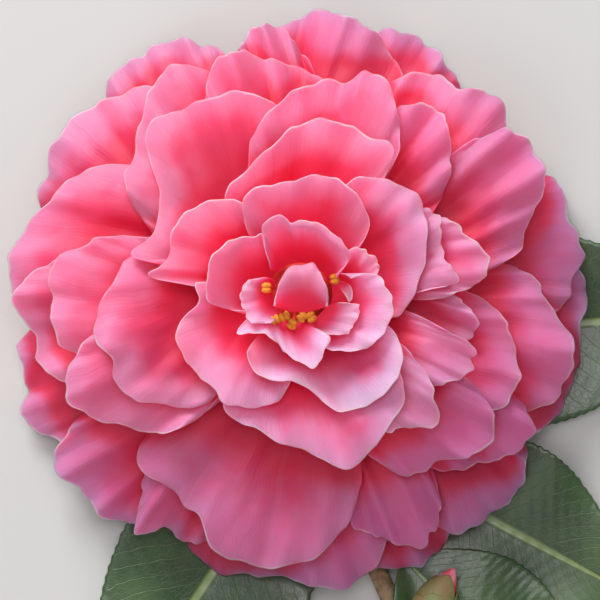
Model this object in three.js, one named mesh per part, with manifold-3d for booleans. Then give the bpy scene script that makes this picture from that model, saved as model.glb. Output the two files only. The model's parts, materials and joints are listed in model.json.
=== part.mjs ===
// A cut camellia bloom, double and peony-formed, lying face up on its twig and leaves.
// Millimetres. +Z points up out of the bloom's face, +Y is the top of the bloom as it is looked at,
// and Z = 0 is the surface that it lies on. Every petal is its own solid: a thin spoon that runs from
// a narrow claw at the receptacle out to its rim, and rests clear of the petals under it.
import * as THREE from "three";
import { mergeVertices } from "three/addons/utils/BufferGeometryUtils.js";
import Module from "manifold-3d";

const wasm = await Module();
wasm.setup();

// Driving dimensions
const PETAL_THICKNESS = 0.55;
const PETAL_SPACING = 1.05; // the least distance between the middles of two petals
const CLAW_WIDTH = 4;
const CLAW_PITCH = 0.33; // how much higher on the receptacle each petal starts than the last
const SEAT_GAP = 0.3; // what every piece keeps to the piece that carries it
const SLACK = 0.2; // what a coarse piece keeps to the petals over it, on top of SEAT_GAP
const RECEPTACLE = { foot: 7.6, base: 8, shoulder: 11, wide: 12.5, top: 27, narrow: 4.2 };
const CALYX = {
  radius: 12, foot: 4.4, stalk: 4.5, lip: 8.8, rim: 9.6, cup: 7.3, well: 9, sepals: 5, sepalDip: 1,
};
const TWIG = {
  radius: 2.1, start: -1.5, length: 68, azimuth: -74, bend: 1.4, wave: 9, taper: 0.15, sides: 10, steps: 14,
};
const LEAF_THICKNESS = 1;
const PETIOLE = { length: 8, halfWidth: 1.1 };

// How the petals of each whorl stand: the height of the rim over the floor, the slopes at claw and
// rim, how much the sides are cupped, and the steps across and along the petal.
const WHORLS = {
  back: { height: 5, rise: 0.1, fall: -0.3, cup: 0, steps: [10, 5] },
  outer: { height: 16, rise: 0.3, fall: -0.3, cup: 1, steps: [10, 5] },
  middle: { height: 25, rise: 0.4, fall: -0.2, cup: 1.5, steps: [10, 5] },
  inner: { height: 33, rise: 0.4, fall: 0.1, cup: 1, steps: [10, 4] },
  cup: { height: 39, rise: 0.5, fall: 0.5, cup: 1, steps: [12, 5] },
  heart: { height: 37, rise: 0.6, fall: 0.5, cup: 0, steps: [8, 3] },
  tongue: { height: 37, rise: 1.2, fall: -0.4, cup: -1, steps: [8, 4] },
};

// Each petal's rim, from its right shoulder round to its left one as seen from above with the claw
// below, by azimuth in degrees and reach in millimetres. raise lifts the right shoulder, the middle
// and the left shoulder off the whorl's height. The petals come in order, the lowest first.
const PETALS = [
  { whorl: "back", rim: [[-84, 46], [-77, 54], [-70, 55.5], [-64, 56.5], [-58, 54], [-53, 46]] },
  {
    whorl: "back", rim: [
      [-120, 44], [-113, 53.5], [-106, 55.5], [-102, 54.5], [-94, 54.5], [-80, 56.5], [-74, 54],
      [-68, 46],
    ],
  },
  { whorl: "back", rim: [[-64, 46], [-58, 53.5], [-51, 55.5], [-44, 56], [-37, 54], [-32, 50], [-28, 43]] },
  {
    whorl: "back", rim: [
      [-37, 44], [-30, 52], [-22, 55], [-15, 55.5], [-10.5, 53.7], [-4, 54.5], [1, 54.5], [7, 51],
      [12, 44],
    ],
  },
  {
    whorl: "back", rim: [
      [-9, 42], [-2, 50.5], [3, 52.5], [8, 54.5], [14, 53.3], [21, 53.8], [25, 52], [32, 45],
    ],
  },
  { whorl: "back", rim: [[44, 42], [51, 49], [57, 52], [63, 53.4], [71, 53.6], [75, 51], [82, 44]] },
  {
    whorl: "back", rim: [
      [57, 38], [64, 45.7], [72, 50.4], [80, 53.5], [85, 54.2], [90, 52.6], [95, 50.5], [102, 43],
    ],
  },
  { whorl: "back", rim: [[88, 44], [94, 50.5], [98, 51.5], [104, 48.3], [110, 41]] },
  {
    whorl: "back", rim: [
      [100, 40], [107, 48], [113, 52.2], [120, 55], [129, 55.2], [134, 53.5], [140, 46],
    ],
  },
  {
    whorl: "back", rim: [
      [118, 40], [125, 47.5], [136, 52.5], [149, 55], [155, 54.2], [161, 52.6], [167, 45],
    ],
  },
  {
    whorl: "back", rim: [
      [182, 46], [190, 54], [197, 55.5], [204, 57.8], [209, 56.2], [213, 52], [217, 44],
    ],
  },
  {
    whorl: "back", rim: [
      [208, 46], [213, 55.5], [217, 57.3], [222, 56.2], [228, 56.5], [235, 53.6], [242, 46],
    ],
  },
  { whorl: "back", rim: [[230, 46], [236, 54.8], [241, 52], [245, 52], [250, 50], [256, 42]] },
  {
    whorl: "outer", rim: [
      [-79, 38], [-77, 45.5], [-73.5, 47], [-69, 51], [-63, 53], [-58, 50], [-53, 42],
    ],
  },
  {
    whorl: "outer", rim: [
      [-139, 36], [-134, 44.5], [-125, 44.5], [-110, 50.5], [-98, 52.7], [-88, 50], [-79, 45], [-73, 39],
      [-70, 33],
    ],
  },
  {
    whorl: "outer", rim: [
      [-33, 42], [-27, 49], [-23, 52], [-17, 53.3], [-10, 51.8], [-2, 47], [5, 43], [10, 37],
    ],
  },
  { whorl: "outer", rim: [[-57, 38], [-49, 44.2], [-40, 48.5], [-31, 51.5], [-27, 48], [-22, 40]] },
  {
    whorl: "outer", rim: [
      [31, 43], [37, 49.5], [42, 52], [48, 51.5], [52, 49.5], [58, 48.5], [64, 46], [70, 42], [76, 36],
    ],
  },
  {
    whorl: "outer", rim: [
      [6, 34], [10, 41], [15, 44.5], [20.5, 48], [26, 51], [33, 52], [38, 50], [42, 43],
    ],
  },
  {
    whorl: "outer", rim: [
      [135, 34], [142, 40.5], [147, 45], [156, 49], [166, 53], [175, 55], [181, 54], [187, 48],
      [192, 40],
    ],
  },
  {
    whorl: "outer", rim: [
      [170, 44], [177, 52], [183, 53.8], [188, 51.3], [195, 50.7], [200, 48.5], [205, 42], [208, 34],
    ],
  },
  {
    whorl: "outer", rim: [
      [105, 38], [113, 47], [118, 49.2], [124, 48.2], [132, 45], [140, 41], [148, 39], [155, 33],
      [160, 27],
    ],
  },
  { whorl: "outer", rim: [[78, 33], [84, 41], [90, 42.2], [98, 45], [106, 47.4], [112, 46], [118, 38]] },
  {
    whorl: "middle", rim: [
      [158, 29], [166, 41], [172, 46.3], [180, 46.5], [188, 46.8], [195, 44], [201, 36],
    ],
  },
  {
    whorl: "middle", rim: [
      [188, 36], [196, 44], [201, 47.2], [206, 47.4], [213, 44.3], [223, 38.3], [230, 32], [232, 24],
    ],
  },
  {
    whorl: "middle", rim: [
      [162, 25], [168, 32.5], [176, 35], [191, 39], [201, 38.2], [208, 38.2], [219, 33.4], [229, 28.4],
      [231, 22],
    ],
  },
  {
    whorl: "middle", rim: [
      [90, 28], [97, 35.5], [103, 38], [112, 40], [125, 43], [135, 41], [139, 37], [144, 33],
      [155, 29.3], [161, 30], [167.5, 32.6], [168.5, 29.8], [166, 26],
    ],
  },
  {
    whorl: "middle", rim: [
      [25, 24], [32, 30.2], [40, 36.8], [46, 40.6], [50, 42.3], [55, 42.8], [60, 41], [66, 34],
    ],
  },
  {
    whorl: "middle", rim: [
      [55, 32], [62, 39.5], [69, 43], [74, 43], [77, 40.6], [81, 41], [87, 39], [93, 37], [101, 34],
      [107, 30.5], [113, 25],
    ],
  },
  {
    whorl: "middle", rim: [
      [-37, 34], [-31, 43.2], [-26, 44], [-18, 43.2], [-12, 41], [-6.5, 38.4], [-1, 34], [3, 30],
      [4, 26],
    ],
  },
  {
    whorl: "middle", rim: [
      [-72, 25], [-67, 33], [-60, 39.4], [-50, 42.3], [-43, 44.4], [-35, 45], [-31, 42], [-27, 35],
    ],
  },
  {
    whorl: "inner", raise: [-4, -4, -4], rim: [
      [-24, 24], [-18, 28.8], [-16, 32.8], [-11, 33.6], [-5, 31.8], [1, 27],
    ],
  },
  {
    whorl: "inner", raise: [-4, -3, -2], rim: [
      [-3, 26], [2, 32.6], [6, 35.5], [11, 35.5], [19, 33.3], [27, 30.4], [33, 25],
    ],
  },
  {
    whorl: "inner", raise: [-4, -3, -3], rim: [
      [-42, 24], [-37, 29], [-31, 32.5], [-27, 34.6], [-23.5, 35.3], [-21.8, 34.4], [-19.5, 35.2],
      [-17, 34], [-15.5, 31], [-14, 27],
    ],
  },
  {
    whorl: "inner", raise: [-2, -1, -1], rim: [
      [2, 25], [4, 29.2], [8, 29.3], [13, 27.6], [18, 27.6], [24, 28.9], [28, 29.5], [33, 28.8],
      [38, 25],
    ],
  },
  {
    whorl: "inner", raise: [-3, -2, -2], rim: [
      [-63, 26], [-58, 30.2], [-51, 32.3], [-46, 34.6], [-42, 35.1], [-38, 32.2], [-32, 27.5], [-27, 22],
    ],
  },
  {
    whorl: "inner", raise: [0, -1, -2], rim: [
      [-128, 20], [-123, 26.4], [-108, 26.3], [-98, 28], [-82, 31.2], [-77, 33.5], [-65, 32.3],
      [-50, 28.8], [-40, 25], [-34, 20],
    ],
  },
  {
    whorl: "inner", rim: [
      [52, 24], [56.5, 32], [64, 31.8], [76, 33], [90, 32], [103, 27.6], [115, 24.5], [128, 23],
      [134, 18],
    ],
  },
  {
    whorl: "inner", rim: [
      [108, 15], [115, 17], [125, 20.8], [135, 24.2], [145, 26], [155, 26.2], [164, 25.6], [169, 26.3],
      [172.5, 28.8], [174.5, 27], [175.5, 22],
    ],
  },
  {
    whorl: "inner", rim: [
      [-18, 15], [-12, 19.4], [6, 22.4], [20, 24.8], [32, 27.6], [41, 28.4], [56, 26], [65, 23.4],
      [72, 17],
    ],
  },
  {
    whorl: "inner", rim: [
      [174, 19.4], [186, 19.4], [193, 22.8], [203, 24.6], [220, 24.6], [225, 23.8], [234, 25],
      [246, 23.6], [258, 20.7], [265, 17],
    ],
  },
  {
    whorl: "cup", raise: [-6, -6, -6], rim: [
      [-132, 15], [-118, 17], [-95, 16.7], [-85, 17.8], [-77, 21], [-69, 23.5], [-47, 24.8], [-35, 23],
      [-24, 20], [-18, 15],
    ],
  },
  {
    whorl: "cup", raise: [-8, -1, -8], rim: [
      [38, 13], [42, 17.2], [52, 19.5], [66, 21.8], [79, 22], [90, 21], [120, 20.5], [128, 17],
    ],
  },
  {
    whorl: "cup", raise: [-6, -4, -6], rim: [
      [6, 11], [13, 15], [22, 15.5], [28, 15.3], [34, 14.7], [40, 13], [46, 9],
    ],
  },
  {
    whorl: "cup", raise: [-6, -4, -8], rim: [
      [-61, 12], [-42, 15.2], [-36, 17], [-24, 18], [-5, 17], [3, 16.5], [12, 15.2], [20, 12],
    ],
  },
  {
    whorl: "cup", raise: [-12, -1, -8], rim: [
      [106, 8], [115, 11.6], [124, 13.5], [130, 13.8], [136, 15.4], [148, 16.9], [160, 17.6],
      [172, 17.8], [184, 17.2], [192, 14], [199, 9.5],
    ],
  },
  {
    whorl: "cup", raise: [-9, 0, -9], rim: [
      [28, 7.5], [33, 10.7], [41, 11.9], [50, 12.5], [65, 13], [80, 13.3], [92, 13.3], [98, 13.3],
      [102, 14.7], [109, 15], [116, 14.5], [122, 13.4], [129, 10.5], [136, 7.5],
    ],
  },
  {
    whorl: "heart", raise: [-4, -3, -4], rim: [
      [-56, 9], [-50, 10.1], [-42, 11.2], [-30, 11.6], [-12, 11.3], [-5, 8],
    ],
  },
  {
    whorl: "heart", raise: [-2, -4, -3], rim: [
      [212, 13.7], [224, 11.2], [240, 10.2], [258, 12], [273, 12.6], [281, 14.4], [290, 13], [304, 9.8],
    ],
  },
  {
    whorl: "heart", raise: [-5, -4, -5], rim: [
      [162, 8], [168, 10.4], [180, 10.9], [192, 11.2], [205, 11.1], [215, 10.2], [226, 7.8],
    ],
  },
];
// The tongue in the very middle rises from its own short claw, given by its two ends.
const TONGUE = {
  whorl: "tongue",
  claw: [[4, -2.6], [-4, -2.6]],
  rim: [
    [-26, 5.4], [-5, 5.3], [20, 5.2], [40, 5.3], [57, 5.7], [67, 6.4], [76, 5.8], [92, 5.5], [112, 5.7],
    [135, 4.9], [165, 4.4], [190, 4.6], [208, 5],
  ],
};
// Where the anthers stand, as x and y, and their height.
const STAMENS = {
  disc: 3.8, thickness: 0.9, foot: 3.1, filament: 0.4, anther: [0.75, 1.1, 0.7], height: 36.5, gap: 0.4,
};
const ANTHERS = [
  [-6.1, 0.9], [-4.5, -4.9], [-2.8, -4.3], [-1.4, -5.7], [0.4, -4.4], [2, -4.4], [6.3, 2.5],
];
// Leaves leave the twig at a distance from the bloom, on one side or the other, towards an azimuth.
const LEAVES = [
  { at: 12, side: 1, azimuth: 6, length: 74, halfWidth: 19 },
  { at: 22, side: -1, azimuth: -124, length: 78, halfWidth: 19 },
  { at: 31, side: 1, azimuth: -28, length: 62, halfWidth: 17 },
  { at: 46, side: 1, azimuth: -46, length: 58, halfWidth: 16 },
];
const LEAF_STEPS = [4, 12];
const LEAF_FOLD = 0.16; // how steeply the blade rises from its midrib to its edge
const LEAF_SWELL = 0.8; // below 1 the blade is widest nearer its stalk
const BUD = { at: 67, azimuth: 60, length: 14, radius: 4.2, base: 0.35, swell: 1.4, taper: 0.25 };

const PETAL_PINKS = {
  back: 0xc94b7c, outer: 0xdf5f8f, middle: 0xe56b99, inner: 0xea769f, cup: 0xef86aa, heart: 0xee7c9e,
  tongue: 0xdf6489,
};
const LEAF_GREEN = 0x2f4a25;
const BARK_BROWN = 0x6b4f37;
const SEPAL_GREEN = 0x7d8a4c;
const ANTHER_GOLD = 0xe2a02f;
const COLUMN_GREEN = 0xc9c48a;

const bloom = new THREE.Group();

function polar(azimuth, reach) {
  const angle = THREE.MathUtils.degToRad(azimuth);
  return new THREE.Vector3(reach * Math.cos(angle), reach * Math.sin(angle), 0);
}

function addMesh(name, geometry, color, roughness = 0.55) {
  const mesh = new THREE.Mesh(geometry, new THREE.MeshStandardMaterial({ color, roughness, metalness: 0 }));
  mesh.name = name;
  bloom.add(mesh);
}

function welded(geometry) {
  const bare = geometry.index ? geometry.clone() : geometry;
  bare.deleteAttribute("normal");
  bare.deleteAttribute("uv");
  return mergeVertices(bare, 1e-4);
}

// The bed is a map of how low the middle of the next thin piece may lie, cell by cell: the floor at
// first, and then whatever has been laid down so far, with a ball of clearance rolled over it.
const BED_CELL = 0.5;
const BED_REACH = 125;
const BED_SIDE = Math.round((2 * BED_REACH) / BED_CELL);
const FLOOR = LEAF_THICKNESS / 2 + 0.06;
const bed = new Float32Array(BED_SIDE * BED_SIDE).fill(FLOOR);

const bedIndex = (x, y) => {
  const column = Math.round((x + BED_REACH) / BED_CELL);
  const row = Math.round((y + BED_REACH) / BED_CELL);
  return row * BED_SIDE + column;
};

// Points spread over a triangle, closer together than a cell of the bed.
function* samples(a, b, c) {
  const longest = Math.max(a.distanceTo(b), b.distanceTo(c), c.distanceTo(a));
  const steps = Math.max(1, Math.ceil(longest / (0.7 * BED_CELL)));
  for (let i = 0; i <= steps; i += 1) {
    for (let j = 0; j <= steps - i; j += 1) {
      const p = i / steps;
      const q = j / steps;
      const r = 1 - p - q;
      yield {
        x: a.x * p + b.x * q + c.x * r,
        y: a.y * p + b.y * q + c.y * r,
        z: a.z * p + b.z * q + c.z * r,
      };
    }
  }
}

function layDown(triangles, clearance) {
  const tops = new Map();
  for (const [a, b, c] of triangles) {
    for (const { x, y, z } of samples(a, b, c)) {
      const index = bedIndex(x, y);
      if (z > (tops.get(index) ?? -Infinity)) tops.set(index, z);
    }
  }
  const cells = Math.floor(clearance / BED_CELL);
  for (let row = -cells; row <= cells; row += 1) {
    for (let column = -cells; column <= cells; column += 1) {
      const rise = clearance ** 2 - (row * BED_CELL) ** 2 - (column * BED_CELL) ** 2;
      if (rise < 0) continue;
      const step = row * BED_SIDE + column;
      const lift = Math.sqrt(rise);
      for (const [index, z] of tops) bed[index + step] = Math.max(bed[index + step], z + lift);
    }
  }
}

function geometryTriangles(geometry) {
  const position = geometry.attributes.position;
  const corner = (k) => new THREE.Vector3().fromBufferAttribute(position, geometry.index.getX(k));
  const triangles = [];
  for (let k = 0; k < geometry.index.count; k += 3) triangles.push([corner(k), corner(k + 1), corner(k + 2)]);
  return triangles;
}

// Both ways of splitting each cell of a sheet's grid of points into triangles.
function* sheetCells(sheet) {
  for (let j = 0; j + 1 < sheet.length; j += 1) {
    for (let i = 0; i + 1 < sheet[j].length; i += 1) {
      const [a, b, c, d] = [sheet[j][i], sheet[j][i + 1], sheet[j + 1][i + 1], sheet[j + 1][i]];
      yield [a, b, c];
      yield [a, c, d];
      yield [a, b, d];
      yield [b, c, d];
    }
  }
}

// Raises a sheet's points until the whole sheet clears the bed, easing off at LIFT_SLOPE around each.
const LIFT_SLOPE = 0.35;
const LIFT_ROUNDS = 8;
function liftClear(sheet) {
  const points = sheet.flat();
  for (let round = 0; round < LIFT_ROUNDS; round += 1) {
    const lifts = new Map(points.map((point) => [point, 0]));
    for (const corners of sheetCells(sheet)) {
      let lack = 0;
      for (const { x, y, z } of samples(...corners)) lack = Math.max(lack, bed[bedIndex(x, y)] - z);
      for (const corner of corners) lifts.set(corner, Math.max(lifts.get(corner), lack));
    }
    const raised = [...lifts].filter(([, lift]) => lift > 0);
    if (raised.length === 0) return;
    const eased = points.map((point) =>
      raised.reduce((most, [other, lift]) => {
        const away = Math.hypot(point.x - other.x, point.y - other.y);
        return Math.max(most, lift - LIFT_SLOPE * away);
      }, 0),
    );
    points.forEach((point, k) => { point.z += eased[k]; });
  }
}

// A closed solid round a sheet of points. Its rows run from the claw out, each from right to left.
function sheetSolid(sheet, thickness) {
  const rows = sheet.length - 1;
  const columns = sheet[0].length - 1;
  const at = (j, i) => sheet[THREE.MathUtils.clamp(j, 0, rows)][THREE.MathUtils.clamp(i, 0, columns)];
  const geometry = new THREE.BoxGeometry(1, 1, 1, columns, rows, 1);
  const position = geometry.attributes.position;
  for (let k = 0; k < position.count; k += 1) {
    const i = Math.round((0.5 - position.getX(k)) * columns);
    const j = Math.round((position.getY(k) + 0.5) * rows);
    const across = at(j, i - 1).clone().sub(at(j, i + 1));
    const along = at(j + 1, i).clone().sub(at(j - 1, i));
    const normal = across.cross(along).normalize();
    const point = at(j, i).clone().addScaledVector(normal, position.getZ(k) * thickness);
    position.setXYZ(k, point.x, point.y, point.z);
  }
  return welded(geometry);
}

// How far from the axis a petal's claw starts, at a height on the receptacle's cone.
function clawRing(height) {
  const { shoulder, wide, top, narrow } = RECEPTACLE;
  const share = THREE.MathUtils.clamp((height - shoulder) / (top - shoulder), 0, 1);
  return wide + (narrow - wide) * share + SEAT_GAP + PETAL_THICKNESS / 2;
}
const FLANK = 0.07; // how far a petal's sides bow out, as a share of its length

// The height at share v of the way out, between two heights, with a slope at each end.
function profile(v, from, to, slopeFrom, slopeTo) {
  return (
    from * (1 + 2 * v) * (1 - v) ** 2 +
    slopeFrom * v * (1 - v) ** 2 +
    to * v * v * (3 - 2 * v) +
    slopeTo * v * v * (v - 1)
  );
}

// A claw finds the lowest place on the receptacle that is free within CLAW_SWING of the petal's middle.
const CLAW_SWING = 32;
const CLAW_TRY = 4;
function clawAzimuth(middle, ring) {
  const reach = THREE.MathUtils.radToDeg((CLAW_WIDTH / 2 + PETAL_SPACING) / ring);
  let best = { cost: Infinity, azimuth: middle };
  for (let swing = -CLAW_SWING; swing <= CLAW_SWING; swing += CLAW_TRY) {
    let height = 0;
    for (let side = -1; side <= 1; side += 0.25) {
      const { x, y } = polar(middle + swing + side * reach, ring + 0.5);
      height = Math.max(height, bed[bedIndex(x, y)]);
    }
    const cost = height + 0.02 * Math.abs(swing);
    if (cost < best.cost) best = { cost, azimuth: middle + swing };
  }
  return best.azimuth;
}

function petalSheet({ whorl, rim, claw, raise = [0, 0, 0] }, clawHeight) {
  const { height, rise, fall, cup, steps: [columns, rows] } = WHORLS[whorl];
  const curve = new THREE.CatmullRomCurve3(rim.map(([azimuth, reach]) => polar(azimuth, reach)));
  const edge = curve.getSpacedPoints(columns);
  const middle = (rim[0][0] + rim.at(-1)[0]) / 2;
  const ring = clawRing(clawHeight);
  const clawMiddle = clawAzimuth(middle, ring);
  const halfAngle = THREE.MathUtils.radToDeg(CLAW_WIDTH / 2 / ring);
  const [right, left] = claw ?? [];
  const root = (u) =>
    claw
      ? new THREE.Vector3(...right, 0).lerp(new THREE.Vector3(...left, 0), (1 + u) / 2)
      : polar(clawMiddle + halfAngle * u, ring);
  const outwards = edge[columns / 2].clone().sub(root(0));
  const sideways = new THREE.Vector3(-outwards.y, outwards.x, 0).multiplyScalar(FLANK);
  const sheet = [];
  for (let j = 0; j <= rows; j += 1) {
    const v = j / rows;
    sheet.push(edge.map((tip, i) => {
      const u = (2 * i) / columns - 1;
      const from = root(u);
      const length = tip.distanceTo(from);
      const side = u < 0 ? raise[0] : raise[2];
      const lift = raise[1] + (side - raise[1]) * u * u;
      const point = from.lerp(tip, v).addScaledVector(sideways, u * Math.abs(u) * Math.sin(Math.PI * v));
      point.z = profile(v, clawHeight, height + lift, rise * length, fall * length) + cup * u * u * v * v;
      return point;
    }));
  }
  return sheet;
}

const TWIG_REST = 0.02; // how far the twig lies off the floor
function twigPoint(distance) {
  const bend = TWIG.bend * Math.sin(distance / TWIG.wave);
  return polar(TWIG.azimuth, distance).add(polar(TWIG.azimuth + 90, bend)).setZ(TWIG.radius + TWIG_REST);
}

function makeTwig() {
  const geometry = new THREE.CylinderGeometry(1, 1, 1, TWIG.sides, TWIG.steps);
  const position = geometry.attributes.position;
  for (let k = 0; k < position.count; k += 1) {
    const share = position.getY(k) + 0.5;
    const distance = TWIG.start + share * (TWIG.length - TWIG.start);
    const centre = twigPoint(distance);
    const ahead = twigPoint(distance + 0.1).sub(twigPoint(distance - 0.1)).normalize();
    const across = new THREE.Vector3(ahead.y, -ahead.x, 0);
    const radius = TWIG.radius * (1 - TWIG.taper * (1 - share));
    centre.addScaledVector(across, position.getX(k) * radius);
    centre.z += position.getZ(k) * radius;
    position.setXYZ(k, centre.x, centre.y, centre.z);
  }
  return welded(geometry);
}

const STALK_SLACK = 0.1; // what a leaf's or the bud's stalk keeps to the twig on top of SEAT_GAP
function leafSheet({ at, side, azimuth, length, halfWidth }) {
  const [columns, rows] = LEAF_STEPS;
  const gap = TWIG.radius + SEAT_GAP + STALK_SLACK;
  const start = twigPoint(at).add(polar(TWIG.azimuth + 90 * side, gap));
  const ahead = polar(azimuth, 1);
  const leftwards = polar(azimuth + 90, 1);
  const sheet = [];
  for (let j = 0; j <= rows; j += 1) {
    const along = (length * j) / rows;
    const blade = Math.max(0, along - PETIOLE.length) / (length - PETIOLE.length);
    const width = Math.max(PETIOLE.halfWidth, halfWidth * Math.sin(Math.PI * blade ** LEAF_SWELL));
    const row = [];
    for (let i = 0; i <= columns; i += 1) {
      const u = (2 * i) / columns - 1;
      const point = start.clone().addScaledVector(ahead, along).addScaledVector(leftwards, u * width);
      point.z = FLOOR + LEAF_FOLD * Math.abs(u) * width * (blade > 0 ? 1 : 0);
      row.push(point);
    }
    sheet.push(row);
  }
  return sheet;
}

addMesh("twig", makeTwig(), BARK_BROWN, 0.8);
layDown(geometryTriangles(bloom.children[0].geometry), LEAF_THICKNESS / 2 + SEAT_GAP);

LEAVES.forEach((leaf, k) => {
  const sheet = leafSheet(leaf);
  liftClear(sheet);
  layDown(sheetCells(sheet), LEAF_THICKNESS / 2 + PETAL_THICKNESS / 2 + SEAT_GAP + SLACK);
  addMesh(`leaf_${k + 1}`, sheetSolid(sheet, LEAF_THICKNESS), LEAF_GREEN, 0.4);
});

// The closed bud lies over the last leaf, on a stalk from the twig.
function makeBud() {
  const { at, azimuth, length, radius, base, swell, taper } = BUD;
  const ahead = polar(azimuth, 1);
  const across = polar(azimuth - 90, 1);
  const start = twigPoint(at).add(polar(TWIG.azimuth + 90, TWIG.radius + SEAT_GAP + STALK_SLACK));
  const geometry = new THREE.SphereGeometry(1, 10, 8);
  const position = geometry.attributes.position;
  let low = radius;
  for (let k = 0; k < position.count; k += 1) {
    const share = (position.getY(k) + 1) / 2;
    const reach = radius * Math.min(1, base + swell * share) * (1 - taper * share);
    const point = start.clone().addScaledVector(ahead, share * length);
    point.addScaledVector(across, position.getX(k) * reach);
    point.z = position.getZ(k) * reach;
    position.setXYZ(k, point.x, point.y, point.z);
    low = Math.max(low, bed[bedIndex(point.x, point.y)] - PETAL_THICKNESS / 2 - point.z);
  }
  geometry.translate(0, 0, low);
  return welded(geometry);
}
const bud = makeBud();
layDown(geometryTriangles(bud), PETAL_THICKNESS / 2 + SEAT_GAP);
addMesh("bud", bud, SEPAL_GREEN, 0.6);

// The calyx is a shallow cup with a lobed rim, and the receptacle a post that stands in it.
function makeCalyx() {
  const { radius, foot, stalk, lip, rim, cup, well, sepals, sepalDip } = CALYX;
  const outline = [[0, foot], [stalk, foot], [radius, lip], [radius - SEAT_GAP, rim], [well, cup], [0, cup]];
  const geometry = new THREE.LatheGeometry(outline.map(([x, y]) => new THREE.Vector2(x, y)), 40);
  geometry.rotateX(Math.PI / 2);
  const position = geometry.attributes.position;
  for (let k = 0; k < position.count; k += 1) {
    const [x, y] = [position.getX(k), position.getY(k)];
    if (Math.hypot(x, y) < (well + radius) / 2) continue;
    const between = 1 - Math.abs(Math.cos((sepals / 2) * Math.atan2(y, x)));
    position.setZ(k, position.getZ(k) - sepalDip * between);
  }
  return welded(geometry);
}
const calyx = makeCalyx();
layDown(geometryTriangles(calyx), PETAL_THICKNESS / 2 + SEAT_GAP + SLACK);
addMesh("calyx", calyx, SEPAL_GREEN, 0.6);

const post = [
  [0, RECEPTACLE.foot],
  [RECEPTACLE.base, RECEPTACLE.foot],
  [RECEPTACLE.wide, RECEPTACLE.shoulder],
  [RECEPTACLE.narrow, RECEPTACLE.top],
  [0, RECEPTACLE.top],
];
const receptacle = new THREE.LatheGeometry(post.map(([x, y]) => new THREE.Vector2(x, y)), 32);
receptacle.rotateX(Math.PI / 2);
addMesh("receptacle", welded(receptacle), COLUMN_GREEN, 0.6);

const FIRST_CLAW = CALYX.rim + 0.8;
const counts = {};
const hearts = []; // the petals round the stamens, which keep clear of them
function addPetal(petal, name, clawHeight) {
  const sheet = petalSheet(petal, clawHeight);
  liftClear(sheet);
  layDown(sheetCells(sheet), PETAL_SPACING);
  if (["cup", "heart"].includes(petal.whorl)) hearts.push(sheet);
  addMesh(name, sheetSolid(sheet, PETAL_THICKNESS), PETAL_PINKS[petal.whorl]);
}

PETALS.forEach((petal, k) => {
  counts[petal.whorl] = (counts[petal.whorl] ?? 0) + 1;
  addPetal(petal, `${petal.whorl}_petal_${counts[petal.whorl]}`, FIRST_CLAW + k * CLAW_PITCH);
});

function solidOf(geometry) {
  const mesh = geometry.index ? geometry : mergeVertices(geometry);
  return new wasm.Manifold(new wasm.Mesh({
    numProp: 3,
    vertProperties: new Float32Array(mesh.attributes.position.array),
    triVerts: new Uint32Array(mesh.index.array),
  }));
}

function geometryOf(solid) {
  const mesh = solid.getMesh();
  const geometry = new THREE.BufferGeometry();
  geometry.setAttribute("position", new THREE.BufferAttribute(new Float32Array(mesh.vertProperties), 3));
  geometry.setIndex(new THREE.BufferAttribute(new Uint32Array(mesh.triVerts), 1));
  return geometry;
}

// The stamens are one piece: a disc on the receptacle, and filaments that lean out to their anthers.
function makeStamens() {
  const { disc, thickness, foot, filament, anther, height, gap } = STAMENS;
  const base = RECEPTACLE.top + SEAT_GAP;
  const plate = new THREE.CylinderGeometry(disc, disc, thickness, 20);
  plate.rotateX(Math.PI / 2);
  plate.translate(0, 0, base + thickness / 2);
  let solid = solidOf(welded(plate));
  for (const [x, y] of ANTHERS) {
    const head = new THREE.Vector3(x, y, height);
    const reach = Math.min(foot, Math.hypot(x, y));
    const heel = polar(THREE.MathUtils.radToDeg(Math.atan2(y, x)), reach).setZ(base + thickness / 2);
    const stalk = new THREE.CylinderGeometry(filament, filament, head.distanceTo(heel), 5);
    const lean = head.clone().sub(heel).normalize();
    stalk.applyQuaternion(new THREE.Quaternion().setFromUnitVectors(new THREE.Vector3(0, 1, 0), lean));
    const centre = head.clone().add(heel).multiplyScalar(0.5);
    stalk.translate(centre.x, centre.y, centre.z);
    const tip = new THREE.OctahedronGeometry(1, 1);
    tip.scale(...anther);
    tip.translate(head.x, head.y, head.z);
    solid = solid.add(solidOf(welded(stalk))).add(solidOf(welded(tip)));
  }
  for (const sheet of hearts) solid = solid.subtract(solidOf(sheetSolid(sheet, PETAL_THICKNESS + 2 * gap)));
  const pieces = solid.decompose().sort((one, other) => other.volume() - one.volume());
  return geometryOf(pieces[0]);
}
const stamens = makeStamens();
layDown(geometryTriangles(stamens), PETAL_THICKNESS / 2 + SEAT_GAP);
addMesh("stamens", stamens, ANTHER_GOLD, 0.7);
addPetal(TONGUE, "tongue_petal", RECEPTACLE.top + STAMENS.thickness + 2 * SEAT_GAP);

// The origin is the middle of the whole part's box, on the floor.
const box = new THREE.Box3().setFromObject(bloom);
const middle = box.getCenter(new THREE.Vector3());
bloom.position.set(-middle.x, -middle.y, -box.min.z);

export default bloom;
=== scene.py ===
"""A cut camellia bloom with its twig, leaves and bud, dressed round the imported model.

Sizes are in millimetres and degrees until a mesh is made. The bloom is laid petal by petal, from the
lowest to the highest, on a bed that maps how high everything laid so far reaches."""
import json
import math
from collections import namedtuple

import bmesh
import bpy
import numpy as np
from mathutils import Matrix, Vector

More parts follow.
